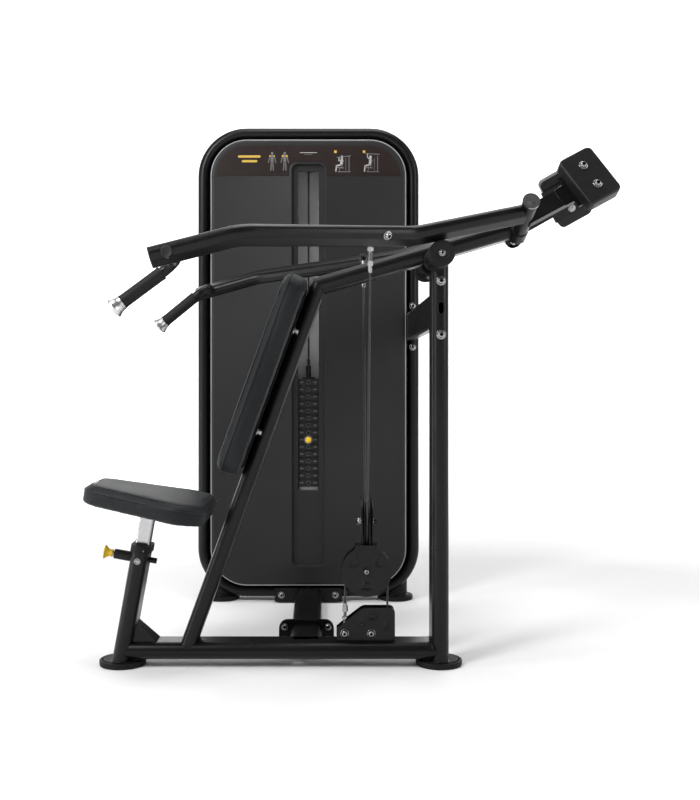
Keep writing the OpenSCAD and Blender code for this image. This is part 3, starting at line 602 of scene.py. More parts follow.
# Bolts under the seat and behind the back pad
bm = bmesh.new()
down = SEAT.to_3x3() @ Vector((0, 0, -1))
for x in (-0.09, 0.1):
    for y in (-0.03, 0.03):
        bolt(bm, SEAT @ Vector((x, y, -0.008)), down, 0.0065)
new_object("seat_plate_bolts", bm, "zinc", "seat")
bm = bmesh.new()
for z in (-0.145, -0.442):
    for y in (-0.074, 0.074):
        m = axes(BACK @ Vector((-0.022, y, z)), BACK.to_3x3() @ Vector((1, 0, 0)), (0, 1, 0))
        head = mm((10.4, 0), (10.6, 0.6), (10.6, 3.6), (10.3, 4.2), (8.4, 4.3), (8.5, 5), (8.5, 13.5),
                  (7.8, 14.5), (0, 14.6))
        lathe(bm, m, head, BOLT_STEPS, {4, 5, 6, 7})
new_object("back_pad_bolts", bm, "zinc", "frame")


# ---- grips and grip caps
def arm_side(s):
    return Matrix.Diagonal((1, s, 1, 1))


GRIP_END = Vector((-0.833, -0.3557, 0.995))
GRIP_FROM = Vector((-0.694, -0.330, 1.104))
GRIP_DIR = (GRIP_END - GRIP_FROM).normalized()
GRIP_LEN = 0.124
CAP_BACK = 0.004     # the cap starts this far before the bar's end
RIB_PITCH = 0.0052
CAP = mm((14.2, 0), (18.5, 0.2), (19.2, 1.2), (19.2, 4), (18.6, 4.8), (18.6, 6), (19.5, 7), (20, 11),
         (21.5, 15.5), (23.6, 19.5), (25.3, 22.2), (25.9, 24.2), (25.7, 26.2), (24.6, 27.6),
         (22.2, 29.2), (21.6, 29.3), (21.2, 28.6), (20.6, 28.6), (20, 29.8), (15, 31.6), (9, 32.6),
         (0, 33))
for s, side in ((1, "near"), (-1, "far")):
    end = arm_side(s) @ GRIP_END
    direction = (arm_side(s).to_3x3() @ GRIP_DIR).normalized()
    m = axes(end - direction * (GRIP_LEN + CAP_BACK), direction, (0, 1, 0))
    # Rubber grip with fine ribs and a rolled end
    prof = mm((14.2, 0.5), (16.5, 0.3), (17.8, 1.8), (18.2, 4), (17.8, 6.5))
    z = 0.009
    while z < 0.118:
        prof += [(0.0170, z), (0.01735, z + 0.0008), (0.01745, z + 0.0022), (0.01735, z + 0.0036),
                 (0.0170, z + 0.0044)]
        z += RIB_PITCH
    prof += mm((17.8, 119.5), (18.2, 121.5), (17.8, 123.8), (14.2, 124))
    bm = bmesh.new()
    lathe(bm, m, prof, 40)
    grip = new_object(side + "_grip_rubber", bm, "grip", side + "_arm", 50)
    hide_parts(side + "_grip")
    # Turned and polished cap
    bm = bmesh.new()
    lathe(bm, m @ Matrix.Translation((0, 0, GRIP_LEN)), CAP, 64)
    cap = new_object(side + "_cap", bm, "alu", side + "_arm", 28)
    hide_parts(side + "_grip_cap")

# ---- arm details
ARM = [Vector((0.217, -0.155, 1.253)), Vector((-0.095, -0.210, 1.183)), Vector((-0.532, -0.450, 1.150)),
       Vector((-0.739, -0.468, 1.094))]


def carried(side_vec, a, b):
    """Turns a vector with the bend from direction a to direction b."""
    return a.rotation_difference(b) @ side_vec


def square_to(v, d):
    return (v - d * v.dot(d)).normalized()


def oval_points(t, w, n=12):
    """Flat-oval outline, thin along x."""
    pts = []
    half = (w - t) / 2
    for k in range(n + 1):
        a = math.pi * k / n
        pts.append((t / 2 * math.cos(a), half + t / 2 * math.sin(a)))
    for k in range(n + 1):
        a = math.pi + math.pi * k / n
        pts.append((t / 2 * math.cos(a), -half + t / 2 * math.sin(a)))
    return pts


d1 = (ARM[1] - ARM[0]).normalized()
d2 = (ARM[2] - ARM[1]).normalized()
d3 = (ARM[3] - ARM[2]).normalized()
wide = square_to(axle_u(-1), d1)
wide = carried(wide, d1, d2)
mid_wide = wide.copy()
wide = carried(wide, d2, d3)

WEIGHT_T = 0.040
LEVER = math.radians(30.4)
BOLT_TURN = math.radians(50)
UP = Vector((0, math.sin(TILT), math.cos(TILT)))
LX = Vector((math.cos(LEVER), 0, 0)) + UP * math.sin(LEVER)

for s, side in ((1, "near"), (-1, "far")):
    flip = arm_side(s)
    body = side + "_arm"
    # Plastic plug in the arm's open end
    m = flip @ axes(ARM[3] - d3 * 0.001, d3, wide)

    def plug_outline(inset):
        return oval_points(0.0385 - 2 * inset, 0.0685 - 2 * inset)

    blob(side + "_arm_plug", plug_outline, 0.0, 0.0045, 0.0022, m, "nylon", body, 4, 0.0002)
    # Plug on the handle's outer end
    tip = Vector((-0.697, -0.502, 1.104))
    into = Vector((-0.003, -0.172, 0.0)).normalized()
    bm = bmesh.new()
    lathe(bm, flip @ axes(tip + into * 0.0006, into, (0, 0, 1)),
          mm((13.8, 0), (14.2, 1), (13.8, 2.4), (12, 3), (10, 2.2), (0, 2.2)), 40)
    new_object(side + "_handle_plug", bm, "plug", body)
    # Counterweight block with rounded edges
    u = axle_u(-1)
    base = AXLE_O + u * 0.156
    m = flip @ axes(base + LX * 0.2005, u, u.cross(LX))

    def block_outline(inset):
        return rounded_outline(0.105 - 2 * inset, 0.155 - 2 * inset, max(0.016 - inset, 0.002), 8)

    weight = blob(side + "_weight", block_outline, 0.0, WEIGHT_T, 0.006, m, "plates", body,
                  6, 0.0015)
    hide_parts(side + "_counterweight")
    bm = bmesh.new()
    for k in (-1, 1):
        bolt(bm, m @ Vector((0, k * 0.033, WEIGHT_T)), m.to_3x3() @ Vector((0, 0, 1)), 0.0105, 0.0075)
        nut(bm, m @ Vector((0, k * 0.033, -0.008)), m.to_3x3() @ Vector((0, 0, -1)), 0.009)
    # Bolt of the cable pin on the arm's outer face
    thin = d2.cross(mid_wide)
    out = mid_wide * math.cos(BOLT_TURN) - thin * math.sin(BOLT_TURN)
    face = ARM[1] + d2 * ((-0.180 - ARM[1].x) / d2.x) + mid_wide * 0.015 + out * 0.0186
    bolt(bm, flip @ face, flip.to_3x3() @ out, 0.0105, 0.008)
    new_object(side + "_arm_bolts", bm, "zinc", body)
    # Hub end rings
    bm = bmesh.new()
    for h in (0.0752, 0.2208):
        lathe(bm, flip @ axes(AXLE_O + u * h, u, (1, 0, 0)),
              mm((20.5, 0), (22.2, 0.3), (22.6, 1), (22.6, 3), (22.2, 3.7), (20.5, 4)), 48)
    new_object(side + "_hub_rings", bm, "nylon", body)
    # Weld bead where the lever meets its end plate
    bm = bmesh.new()
    mw = flip @ axes(AXLE_O + u * 0.1482 + LX * 0.15, u, u.cross(LX))
    seam = rounded_outline(0.05, 0.052, 0.006, 4, -0.0125, 0)
    tube_along(bm, [mw @ Vector((x, y, 0)) for x, y in seam], 0.0022, 8, True)
    new_object(side + "_lever_weld", bm, "coat", body)

# ---- frame bolts
bm = bmesh.new()
Y = Vector((0, 1, 0))
for z in (1.083, 0.933):
    bolt(bm, (0, -0.055, z), -Y, 0.0115, 0.007)
    nut(bm, (0, 0.055, z), Y, 0.0095)
for s in (-1, 1):
    bolt(bm, (-0.016, s * 0.2099, 1.140), Y * s, 0.0075, 0.0045)
for sx in (-1, 1):
    for z in (0.024, 0.062):
        bolt(bm, (TX + sx * 0.066, 0.184, z), -Y, 0.0092, 0.006)
        nut(bm, (TX + sx * 0.066, 0.200, z), Y, 0.008)
    bolt(bm, (TX + sx * 0.098, 0.799, 0.030), -Y, 0.0105, 0.007)
for z in (1.083, 0.933):
    bolt(bm, (0.004, 0.825, z), -Y, 0.0105, 0.007)
bolts = new_object("frame_bolt_heads", bm, "zinc", "frame")
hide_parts("frame_bolts")

# Plug ring of the adjustment slot on the rear post
bm = bmesh.new()
slot_m = axes((0, -0.0552, 1.008), (0, -1, 0), (0, 0, 1))
shell(bm, [(oval_points(0.015, 0.032), 0.0), (oval_points(0.0175, 0.0345), 0.0012),
           (oval_points(0.0205, 0.0375), 0.0014), (oval_points(0.0225, 0.0395), 0.0)], slot_m)
new_object("slot_ring", bm, "nylon", "frame")

# ---- rubber feet
bm = bmesh.new()
for (x, y) in ((-0.897, 0), (0, 0), (TX - 0.322, 0.885), (TX + 0.322, 0.885)):
    lathe(bm, Matrix.Translation((x, y, 0)),
          mm((0, 0.2), (60, 0), (64, 0.8), (65.2, 3), (65.5, 6), (64.8, 7.5), (65.5, 9),
             (65.5, 13.5), (64.8, 15.8), (63, 16.8), (60, 17), (58.2, 16), (57.7, 14), (57.7, 10.5),
             (0, 10.3)), 72)
feet = new_object("rubber_feet", bm, "rubber", "frame", 40)
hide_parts("foot_cups")

# Stop bumpers with a rounded rim
bm = bmesh.new()
for s in (-1, 1):
    lathe(bm, axes((-0.016, s * 0.170, 1.140), (0, s, 0), (0, 0, 1)),
          mm((0, 0.2), (33, 0), (34.6, 1.5), (34.7, 8.5), (34.1, 9.5), (34.7, 10.5), (34.7, 29.5),
             (34.1, 30.5), (34.7, 31.5), (34.6, 37.5), (33.2, 39.6), (31, 40), (15, 40), (14, 39.2),
             (0, 39)), 72)
bumpers = new_object("bumper_rubbers", bm, "rubber", "frame", 40)
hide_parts("stop_bumpers")

# ---- front shroud
FRONT = Matrix(((1, 0, 0, TX), (0, 0, 1, 0), (0, 1, 0, 0), (0, 0, 0, 1)))
W = 0.715
CORNER_R = 0.134
EDGE_R = 0.014
Z0, Z1 = 0.062, 1.690
CZ, H = (Z0 + Z1) / 2, Z1 - Z0
RC, RZ0, RZ1 = 0.120, 0.135, 1.599
RCZ, RH = (RZ0 + RZ1) / 2, RZ1 - RZ0
WC, WZ0, WZ1 = 0.0775, 0.409, 1.574
WCZ, WH = (WZ0 + WZ1) / 2, WZ1 - WZ0
N = 16


def body_line(inset):
    return rounded_outline(W - 2 * inset, H - 2 * inset, CORNER_R - inset, N, 0, CZ)


def recess_line(inset):
    return rounded_outline(RC - 2 * inset, RH - 2 * inset, max(0.022 - inset, 0.003), N, 0, RCZ)


layers = [(body_line(0.0), 0.870), (body_line(0.0), 0.814)]
for k in range(1, 8):
    a = math.radians(90 * k / 7)
    layers.append((body_line(EDGE_R * (1 - math.cos(a))), 0.814 - EDGE_R * math.sin(a)))
layers += [(body_line(0.0165), 0.8000), (recess_line(-0.006), 0.8000), (recess_line(-0.004), 0.7992),
           (recess_line(-0.0015), 0.7990), (recess_line(0.0), 0.7996), (recess_line(0.0015), 0.8020),
           (recess_line(0.0020), 0.8100), (recess_line(0.0035), 0.8122), (recess_line(0.006), 0.8126)]
inner_window = rounded_outline(WC - 0.001, WH - 0.001, 0.003, N, 0, WCZ)
layers += [(rounded_outline(WC, WH, 0.0035, N, 0, WCZ), 0.8126), (inner_window, 0.8132),
           (inner_window, 0.8160)]
bm = bmesh.new()
shell(bm, layers, FRONT)
shroud = new_object("shroud_panel", bm, "shroud", "frame", 35)
# Light tube along the shroud's front edge: a painted highlight of the rounded edge
bm = bmesh.new()
tube_along(bm, [(TX + x, 0.8040, z) for x, z in body_line(0.0038)], 0.0022, 8, True)
new_object("shroud_rim_highlight", bm, "rim_highlight", "frame", 60)
so = shroud.modifiers.new("thick", "SOLIDIFY")
so.thickness = 0.0012
so.offset = 0
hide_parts("front_shroud")

# Pale panels behind the window, painted pale to stand in for light showing through from behind, with the
# cable's gap between them
bm = bmesh.new()
for sx in (-1, 1):
    m = Matrix(((1, 0, 0, TX + sx * 0.0425), (0, 0, -1, 0.926), (0, 1, 0, 0), (0, 0, 0, 1)))
    shell(bm, [(rounded_outline(0.079, 1.170, 0.004, 4, 0, 1.015), -0.006),
               (rounded_outline(0.079, 1.170, 0.004, 4, 0, 1.015), 0.002),
               (rounded_outline(0.077, 1.168, 0.003, 4, 0, 1.015), 0.003)], m, True, True)
new_object("window_backlight_panels", bm, "painted_backlight", "frame")
bm = bmesh.new()
rest_edge = rounded_outline(0.072, 0.074, 0.004, 4)
rest_side = rounded_outline(0.074, 0.076, 0.004, 4)
shell(bm, [(rest_edge, 0.4000), (rest_side, 0.4010), (rest_side, 0.4215), (rest_edge, 0.4225)],
      Matrix.Translation((TX, STACK_Y, 0)), True, True)
new_object("stack_rest", bm, "rest", "frame")

# Rear shroud, softly dished
layers = [(body_line(0.0), 0.900)]
for k in range(0, 8):
    a = math.radians(90 * k / 7)
    layers.append((body_line(EDGE_R * (1 - math.cos(a))), 0.971 + EDGE_R * math.sin(a)))
layers += [(rounded_outline(W - 0.12, H - 0.12, 0.09, N, 0, CZ), 0.985),
           (rounded_outline(W - 0.126, H - 0.126, 0.087, N, 0, CZ), 0.9835),
           (rounded_outline(W - 0.134, H - 0.134, 0.083, N, 0, CZ), 0.9835),
           (rounded_outline(W - 0.140, H - 0.140, 0.080, N, 0, CZ), 0.985)]
bm = bmesh.new()
shell(bm, layers, FRONT, False, True)
rear = new_object("rear_panel", bm, "shroud", "frame", 35)
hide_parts("rear_shroud")
bm = bmesh.new()
for x in (-0.30, 0.30):
    for z in (0.25, 0.87, 1.50):
        bolt(bm, (TX + x, 0.9848, z), Y, 0.005, 0.003)
new_object("rear_screws", bm, "zinc", "frame")

# ---- placard: plain generic pictograms
PY = 0.7977


def flat(bm, pts, y=PY):
    vs = [bm.verts.new((TX + x, y, z)) for x, z in pts]
    bm.faces.new(vs)


def bar(bm, x0, z0, x1, z1, w, y=PY):
    a, b = Vector((x0, z0)), Vector((x1, z1))
    d = (b - a).normalized()
    n = Vector((-d.y, d.x)) * w / 2
    flat(bm, [tuple(a + n), tuple(a - n), tuple(b - n), tuple(b + n)], y)
    for c in (a, b):
        flat(bm, [(c.x + w / 2 * math.cos(t), c.y + w / 2 * math.sin(t)) for t in
                  (2 * math.pi * k / 10 for k in range(10))], y - 0.00004)


def disc(bm, x, z, r, y=PY):
    turns = [2 * math.pi * k / 20 for k in range(20)]
    flat(bm, [(x + r * math.cos(t), z + r * math.sin(t)) for t in turns], y)


gold, white, grey = bmesh.new(), bmesh.new(), bmesh.new()
# Plain bars where a title stood, with no letters
for z, x0, x1 in ((1.6255, -0.252, -0.178), (1.6085, -0.238, -0.190)):
    bar(gold, x0, z, x1, z, 0.0085)
# Two standing figures, with the shoulders marked
for k, x in enumerate((-0.132, -0.086)):
    disc(grey, x, 1.6375, 0.0048)
    bar(grey, x, 1.628, x, 1.606, 0.0105)
    bar(grey, x - 0.008, 1.626, x - 0.0135, 1.604, 0.0034)
    bar(grey, x + 0.008, 1.626, x + 0.0135, 1.604, 0.0034)
    bar(grey, x - 0.003, 1.602, x - 0.0045, 1.576, 0.0044)
    bar(grey, x + 0.003, 1.602, x + 0.0045, 1.576, 0.0044)
    for sx in (-1, 1):
        disc(gold, x + sx * 0.0075, 1.6275, 0.0036 if k else 0.0028, PY - 0.0001)
# Two seated figures on a machine: start and finish
for k, x in enumerate((0.118, 0.222)):
    flat(gold, [(x - 0.024, 1.6385), (x - 0.015, 1.6385), (x - 0.015, 1.6475), (x - 0.024, 1.6475)])
    disc(white, x + 0.004, 1.6240, 0.0048)
    bar(white, x + 0.004, 1.616, x + 0.001, 1.597, 0.0080)
    bar(white, x + 0.001, 1.595, x - 0.016, 1.592, 0.0052)
    bar(white, x - 0.016, 1.591, x - 0.018, 1.572, 0.0042)
    up = 0.014 if k else 0.0
    bar(white, x + 0.004, 1.614, x - 0.008, 1.609 + up, 0.0032)
    bar(white, x - 0.008, 1.609 + up, x - 0.006, 1.621 + up, 0.0032)
    bar(grey, x - 0.014, 1.622 + up, x + 0.036, 1.628 + up * 0.4, 0.0026)
    bar(grey, x + 0.010, 1.612, x + 0.004, 1.588, 0.0026)
    bar(grey, x - 0.014, 1.586, x + 0.010, 1.584, 0.0034)
    bar(grey, x - 0.004, 1.582, x - 0.006, 1.570, 0.0024)
    bar(grey, x + 0.030, 1.626, x + 0.030, 1.570, 0.0026)
    bar(grey, x - 0.010, 1.570, x + 0.034, 1.570, 0.0026)
    bar(grey, x + 0.018, 1.620, x + 0.018, 1.574, 0.0014)
# A plain centre mark: two short lines
bar(white, -0.030, 1.6395, 0.030, 1.6395, 0.0022)
bar(grey, -0.014, 1.6335, 0.014, 1.6335, 0.0016)
new_object("placard_gold", gold, "gold", "frame")
new_object("placard_white", white, "white", "frame")
new_object("placard_grey", grey, "print", "frame")


# ---- weight plates: labels, rings, edges
PITCH = 0.0263
PLATE_T = 0.0255
SZ = 0.4234
PY0 = 0.824
for name, levels, body, node in (("upper_plates", range(6, 15), "weight_stack", "lifted_plates"),
                                 ("base_plates", range(0, 6), "frame", "lower_plates")):
    plates, marks, painted_hole_shade, rings = bmesh.new(), bmesh.new(), bmesh.new(), bmesh.new()
    for i in levels:
        z0 = SZ + i * PITCH
        zc = z0 + PLATE_T / 2
        m = Matrix.Translation((TX, STACK_Y, z0))

        def plate_line(inset):
            return rounded_outline(0.300 - 2 * inset, 0.088 - 2 * inset, max(0.008 - inset, 0.002), 5)

        lay = []
        e = 0.0012
        arc = [math.radians(a) for a in (0, 30, 60, 90)]
        lay += [(plate_line(e * (1 - math.sin(a))), e * (1 - math.cos(a))) for a in arc]
        lay += [(plate_line(e * (1 - math.cos(a))), PLATE_T - e * (1 - math.sin(a))) for a in arc]
        shell(plates, lay, m, True, True)
        for sx in (-1, 1):
            x = TX + sx * 0.0245
            for k in range(3):
                xx = x + (k - 1) * 0.0042
                half = 0.0026 if k == 1 else 0.0030
                vs = [marks.verts.new((xx + a * 0.0014, PY0 - 0.0004, zc + b * half))
                      for a, b in ((-1, -1), (1, -1), (1, 1), (-1, 1))]
                marks.faces.new(vs)
        # Near-black disc over each pin hole: painted shade in the hole
        lathe(painted_hole_shade, axes((TX, PY0 - 0.0003, zc), (0, -1, 0)), mm((0, 0), (4.8, 0), (5, 0.2)), 24)
        lathe(rings, axes((TX, PY0 - 0.0002, zc), (0, -1, 0)),
              mm((5, 0), (5.3, 0.4), (6.3, 0.4), (6.6, 0)), 24)
    p = new_object(name, plates, "plates", body, 40)
    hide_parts(node)
    new_object(name + "_marks", marks, "mark", body)
    new_object(name + "_holes", painted_hole_shade, "dark", body)
    new_object(name + "_rings", rings, "mark", body)

# Selector pin: yellow knob with a white ring, on a steel pin
pz = SZ + 6 * PITCH + PLATE_T / 2
bm = bmesh.new()
m = axes((TX, 0.820, pz), (0, -1, 0), (0, 0, 1))
lathe(bm, m, mm((0, 0.1), (10.5, 0), (11.5, 1), (11.2, 4), (10.5, 7), (10.8, 10), (11, 14.5),
                (10.4, 16.5), (9, 17.6), (0, 18.2)), 40)
knob = new_object("selector_knob", bm, "yellow", "selector_pin")
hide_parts("selector_pin")
bm = bmesh.new()
lathe(bm, m, mm((11.6, 1), (15, 1.2), (16.2, 3), (16.2, 5.2), (15, 7), (11.6, 7.2)), 48)
new_object("selector_ring", bm, "print", "selector_pin")
bm = bmesh.new()
m2 = axes((TX, 0.8205, pz), (0, 1, 0), (0, 0, 1))
lathe(bm, m2, mm((0, 0), (4.8, 0), (4.95, 0.6), (4.95, 54), (3.5, 57), (0, 57.2)), 32)
new_object("selector_shaft", bm, "steel", "selector_pin")

# Pop-pin knob, turned
bm = bmesh.new()
drop = SEAT @ Matrix.Translation((0, 0, -0.139)) @ Matrix.Rotation(math.radians(-90), 4, "Y")
lathe(bm, drop, mm((0, 78.5), (7.5, 78.5), (7.8, 79.5), (10.8, 80), (11, 81.5), (10.7, 85.5),
                   (11, 91), (14.5, 96.5), (18.5, 100.2), (19.9, 101.8), (19.8, 103.4), (18, 104.7),
                   (12, 105), (10.5, 104.3), (0, 104)), 56)
knob = new_object("pull_knob", bm, "yellow", "pop_pin")
bm = bmesh.new()
lathe(bm, drop, mm((0, 17.5), (3.5, 17.6), (4.4, 19.5), (4.4, 62), (7.4, 62.2), (7.4, 79), (0, 79.1)), 32)
new_object("pull_shaft", bm, "steel", "pop_pin")
bm = bmesh.new()
prof = [(0.0140, 0.024)]
for k in range(22):
    z = 0.0242 + 0.0021 * k
    prof += [(0.01425, z + 0.0004), (0.01425, z + 0.0010), (0.01395, z + 0.0014)]
prof += [(0.0140, 0.0745), (0.0136, 0.0755), (0.0080, 0.0757)]
lathe(bm, drop, prof, 40)
new_object("barrel_ridges", bm, "nylon", "frame", 30)
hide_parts("pop_pin_knob")

# Chrome plug and small screws on the seat post's near face
bm = bmesh.new()
for dz, r in ((-0.139, 0.0085), (-0.108, 0.0034), (-0.104, 0.0030)):
    p = SEAT @ Vector((0.0 if r > 0.005 else (0.010 if dz < -0.105 else -0.004), -0.055, dz))
    if r > 0.005:
        lathe(bm, axes(p, (0, -1, 0)), mm((9, 0), (9.2, 0.8), (8, 1.2), (6, 0.4), (5.5, 1.2),
                                          (2.5, 1.6), (0, 1.6)), 32)
    else:
        bolt(bm, p, (0, -1, 0), r, 0.0022, False)
new_object("seat_post_screws", bm, "zinc", "frame")

# ---- embossed covers and housing
def emboss(name, outlines, y, direction, body):
    """Raised pockets on a flat side plate."""
    bm = bmesh.new()
    for pts in outlines:
        n = len(pts)
        c = Vector((sum(p[0] for p in pts) / n, sum(p[1] for p in pts) / n))
        rings = []
        for inset, h in mm((0, 0), (1.2, 1.2), (2.6, 1.7), (4.8, 1.7), (6.2, 1), (7.2, 0.6)):
            ring = []
            for p in pts:
                v = Vector(p) - c
                v = v * max(0.1, (v.length - inset) / v.length)
                ring.append(bm.verts.new((c.x + v.x, y + direction * h, c.y + v.y)))
            rings.append(ring)
        for a, b in zip(rings, rings[1:]):
            bridge(bm, a, b)
        bm.faces.new(rings[-1])
    return new_object(name, bm, "coat", body, 60)


def wedge(cx, cz, ang, r0, r1, half):
    """Sector between two radii, centred on an angle."""
    pts = []
    for k in range(9):
        a = math.radians(ang - half + 2 * half * k / 8)
        pts.append((cx + r1 * math.cos(a), cz + r1 * math.sin(a)))
    for k in range(5):
        a = math.radians(ang + half * 0.72 - 1.44 * half * k / 4)
        pts.append((cx + r0 * math.cos(a), cz + r0 * math.sin(a)))
    return pts


BX = -0.206
for y, d, side in ((-0.021, -1, "near"), (0.021, 1, "far")):
    pockets = [wedge(BX, 0.266, a, 0.030, 0.055, 22) for a in (35, 145, 270)]
    emboss("cover_pockets_" + side, pockets, y, d, "pulley_block")
    emboss("housing_pockets_" + side,
           [mm((-234, 112), (-214, 130), (-206, 134), (-214, 112)),
            mm((-205, 148), (-172, 148), (-178, 128), (-199, 128)),
            mm((-160, 100), (-141, 100), (-141, 132), (-152, 124))], y, d, "frame")
bm = bmesh.new()
bolt(bm, (BX, -0.0215, 0.266), -Y, 0.0085, 0.006)
nut(bm, (BX, 0.0212, 0.266), Y, 0.0085)
new_object("cover_bolt", bm, "zinc", "pulley_block")
bm = bmesh.new()
for x in (-0.193, -0.268):
    bolt(bm, (x, -0.0215, 0.092), -Y, 0.0105, 0.007)
    nut(bm, (x, 0.0212, 0.092), Y, 0.0095)
new_object("housing_bolts", bm, "zinc", "frame")
bm = bmesh.new()
X = Vector((1, 0, 0))
bolt(bm, (BX + 0.0165, 0, 0.406), X, 0.0095, 0.008)
nut(bm, (BX - 0.0165, 0, 0.406), -X, 0.0095)
new_object("block_axle_bolt", bm, "zinc", "pulley_block")
bm = bmesh.new()
bolt(bm, (BX, 0, 0.3412), (0, 0, 1), 0.006, 0.003)
new_object("block_swivel", bm, "zinc", "pulley_block")


def press_line(s):
    """Ends of one press cable: the eye on the arm and the point where it meets the pulley."""
    return Vector((-0.205, s * -0.212, 1.180)), Vector((-0.206, s * -0.0589, 0.3945))


# Threads of the cable fittings
for s, side in ((1, "near"), (-1, "far")):
    eye, foot = press_line(s)
    d = (foot - eye).normalized()
    bm = bmesh.new()
    m = axes(eye, d, (1, 0, 0))
    z = 0.037
    prof = [(0.0048, z)]
    while z < 0.060:
        prof += [(0.0056, z + 0.0005), (0.0049, z + 0.0010)]
        z += 0.0010
    lathe(bm, m, prof, 24)
    new_object(side + "_fitting_thread", bm, "zinc", side + "_cable_end", 20)
    bm = bmesh.new()
    lathe(bm, m, mm((3, 74), (5.2, 74), (5.4, 78), (5.4, 88), (4.4, 92), (3.2, 93)), 24)
    new_object(side + "_cable_ferrule", bm, "zinc", side + "_cable_end", 30)


def rope(name, a, b, body_a, body_b, *nodes):
    """Run of cable from a to b; with two bodies, it rides on no body."""
    bm = bmesh.new()
    a, b = Vector(a), Vector(b)
    tube_along(bm, [a.lerp(b, k / 40) for k in range(41)], 0.003, 12)
    o = new_object(name, bm, "cable", None if body_b else body_a, 60)
    if body_b:
        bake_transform(o)
    for node in nodes:
        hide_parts(node)


rope("anchor_rope", (ANCHOR_X, 0, 0.174), (ANCHOR_X, 0, 0.266), "frame", "pulley_block",
     "anchor_cable_run")
rope("base_rope", (-0.146, 0, 0.092), (-0.146, 0, 0.266), "frame", "pulley_block", "base_cable_run")
rope("stack_rope", (TX, STACK_Y, 1.640), (TX, STACK_Y, 0.890), "frame", "weight_stack",
     "stack_cable_run")
for s, side in ((1, "near"), (-1, "far")):
    eye, foot = press_line(s)
    rope(side + "_press_rope", eye + (foot - eye).normalized() * 0.074, foot, side + "_cable_end", None,
         side + "_press_cable")

# Thread and ferrule of the lift cable's anchor
bm = bmesh.new()
z = 0.106
prof = [(0.0042, z)]
while z < 0.172:
    prof += [(0.0050, z + 0.0006), (0.0044, z + 0.0012)]
    z += 0.0012
anchor = Matrix.Translation((ANCHOR_X, 0, 0))
lathe(bm, anchor, prof, 24)
new_object("anchor_thread", bm, "zinc", "frame", 20)
bm = bmesh.new()
lathe(bm, anchor, mm((3.2, 166), (6.2, 166), (6.6, 170), (6.2, 173.5), (3.1, 174)), 24)
new_object("anchor_ferrule", bm, "zinc", "frame", 30)


# ---- weld beads
def bead(name, points, radius=0.0022, closed=True, body="frame"):
    bm = bmesh.new()
    tube_along(bm, points, radius, 8, closed)
    return new_object(name, bm, "coat", body, 60)


bead("weld_rear_foot", [(x, y, 0.0185) for x, y in oval_points(0.048, 0.110)])
bead("weld_seat_foot", [(-0.897 + x, y, 0.0185) for x, y in oval_points(0.049, 0.110)])
bead("weld_base_rear", [(-0.0235, y, 0.047 + x) for x, y in oval_points(0.048, 0.106)])
for sx in (-1, 1):
    bead("weld_tower_foot_" + ("a" if sx < 0 else "b"),
         [(TX + sx * 0.322 + 0.044 * math.cos(t), 0.885 + 0.044 * math.sin(t), 0.0185)
          for t in (2 * math.pi * k / 40 for k in range(40))])
    bead("weld_stub_" + ("a" if sx < 0 else "b"),
         [(-0.016 + 0.030 * math.cos(t), sx * 0.0555, 1.140 + 0.030 * math.sin(t))
          for t in (2 * math.pi * k / 40 for k in range(40))])

# ---- stage, lights
def stage_plane(name, corners, mat):
    """Flat four-sided backdrop, which is no part of the machine."""
    bm = bmesh.new()
    bm.faces.new([bm.verts.new(p) for p in corners])
    me = bpy.data.meshes.new(name)
    bm.to_mesh(me)
    bm.free()
    obj = bpy.data.objects.new(name, me)
    scene.collection.objects.link(obj)
    me.materials.append(mat)


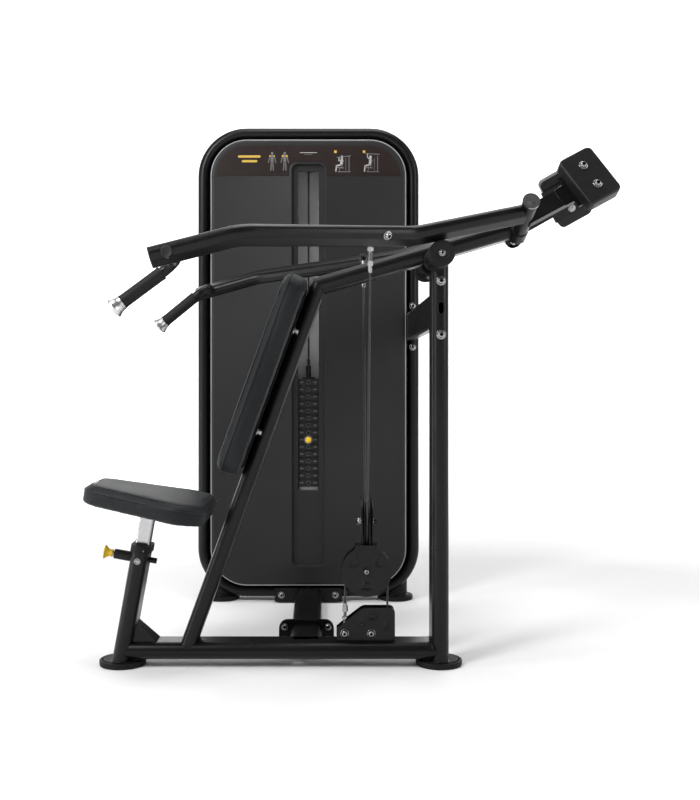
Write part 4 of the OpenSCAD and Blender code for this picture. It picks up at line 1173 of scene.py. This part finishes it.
# Pale floor that fades to white away from the machine
fm, nt, b = principled("floor_pale")
colour = ramp(nt, noise(nt, 1.2, 3).outputs["Fac"], (0.86, 0.86, 0.86), (0.9, 0.9, 0.9))
nt.links.new(colour, b.inputs["Base Color"])
b.inputs["Roughness"].default_value = 0.95
b.inputs["Specular IOR Level"].default_value = 0.1
coord = nt.nodes.new("ShaderNodeTexCoord")
away = nt.nodes.new("ShaderNodeVectorMath")
away.operation = "LENGTH"
nt.links.new(coord.outputs["Object"], away.inputs[0])
fade = nt.nodes.new("ShaderNodeMapRange")
fade.inputs["From Min"].default_value = 1.8
fade.inputs["From Max"].default_value = 5.0
nt.links.new(away.outputs["Value"], fade.inputs["Value"])
b.inputs["Emission Color"].default_value = (1, 1, 1, 1)
nt.links.new(fade.outputs["Result"], b.inputs["Emission Strength"])
FLOOR = 60
stage_plane("floor", ((-FLOOR, -FLOOR, 0), (FLOOR, -FLOOR, 0), (FLOOR, FLOOR, 0), (-FLOOR, FLOOR, 0)), fm)

# White backdrop, far behind the machine
wm, nt, b = principled("backdrop_white")
colour = ramp(nt, noise(nt, 0.3, 2).outputs["Fac"], (0.9, 0.9, 0.9), (0.92, 0.92, 0.92))
nt.links.new(colour, b.inputs["Base Color"])
b.inputs["Emission Color"].default_value = (1, 1, 1, 1)
b.inputs["Emission Strength"].default_value = 1.0
stage_plane("backdrop", ((-30, 14, -1), (30, 14, -1), (30, 14, 26), (-30, 14, 26)), wm)

world = bpy.data.worlds.new("studio")
scene.world = world
world.use_nodes = True
world.node_tree.nodes["Background"].inputs["Color"].default_value = (1, 1, 1, 1)
world.node_tree.nodes["Background"].inputs["Strength"].default_value = 0.22


def area(name, loc, target, size_x, size_y, power):
    d = bpy.data.lights.new(name, "AREA")
    d.shape = "RECTANGLE"
    d.size = size_x
    d.size_y = size_y
    d.energy = power
    o = bpy.data.objects.new(name, d)
    scene.collection.objects.link(o)
    o.location = loc
    o.rotation_euler = (Vector(target) - Vector(loc)).to_track_quat("-Z", "Y").to_euler()
    return o


area("key", (-2.6, -2.4, 3.4), (-0.3, 0.2, 0.9), 1.0, 2.2, 130)
area("strip", (-3.6, -1.0, 1.3), (-0.3, 0.3, 0.9), 0.35, 2.6, 34)
area("top", (-0.2, 0.2, 4.2), (-0.3, 0.3, 0.8), 2.4, 1.6, 62)
area("fill", (2.8, -1.6, 2.2), (-0.2, 0.2, 0.8), 0.9, 2.6, 38)
scene.view_settings.view_transform = "Standard"
scene.view_settings.look = "None"
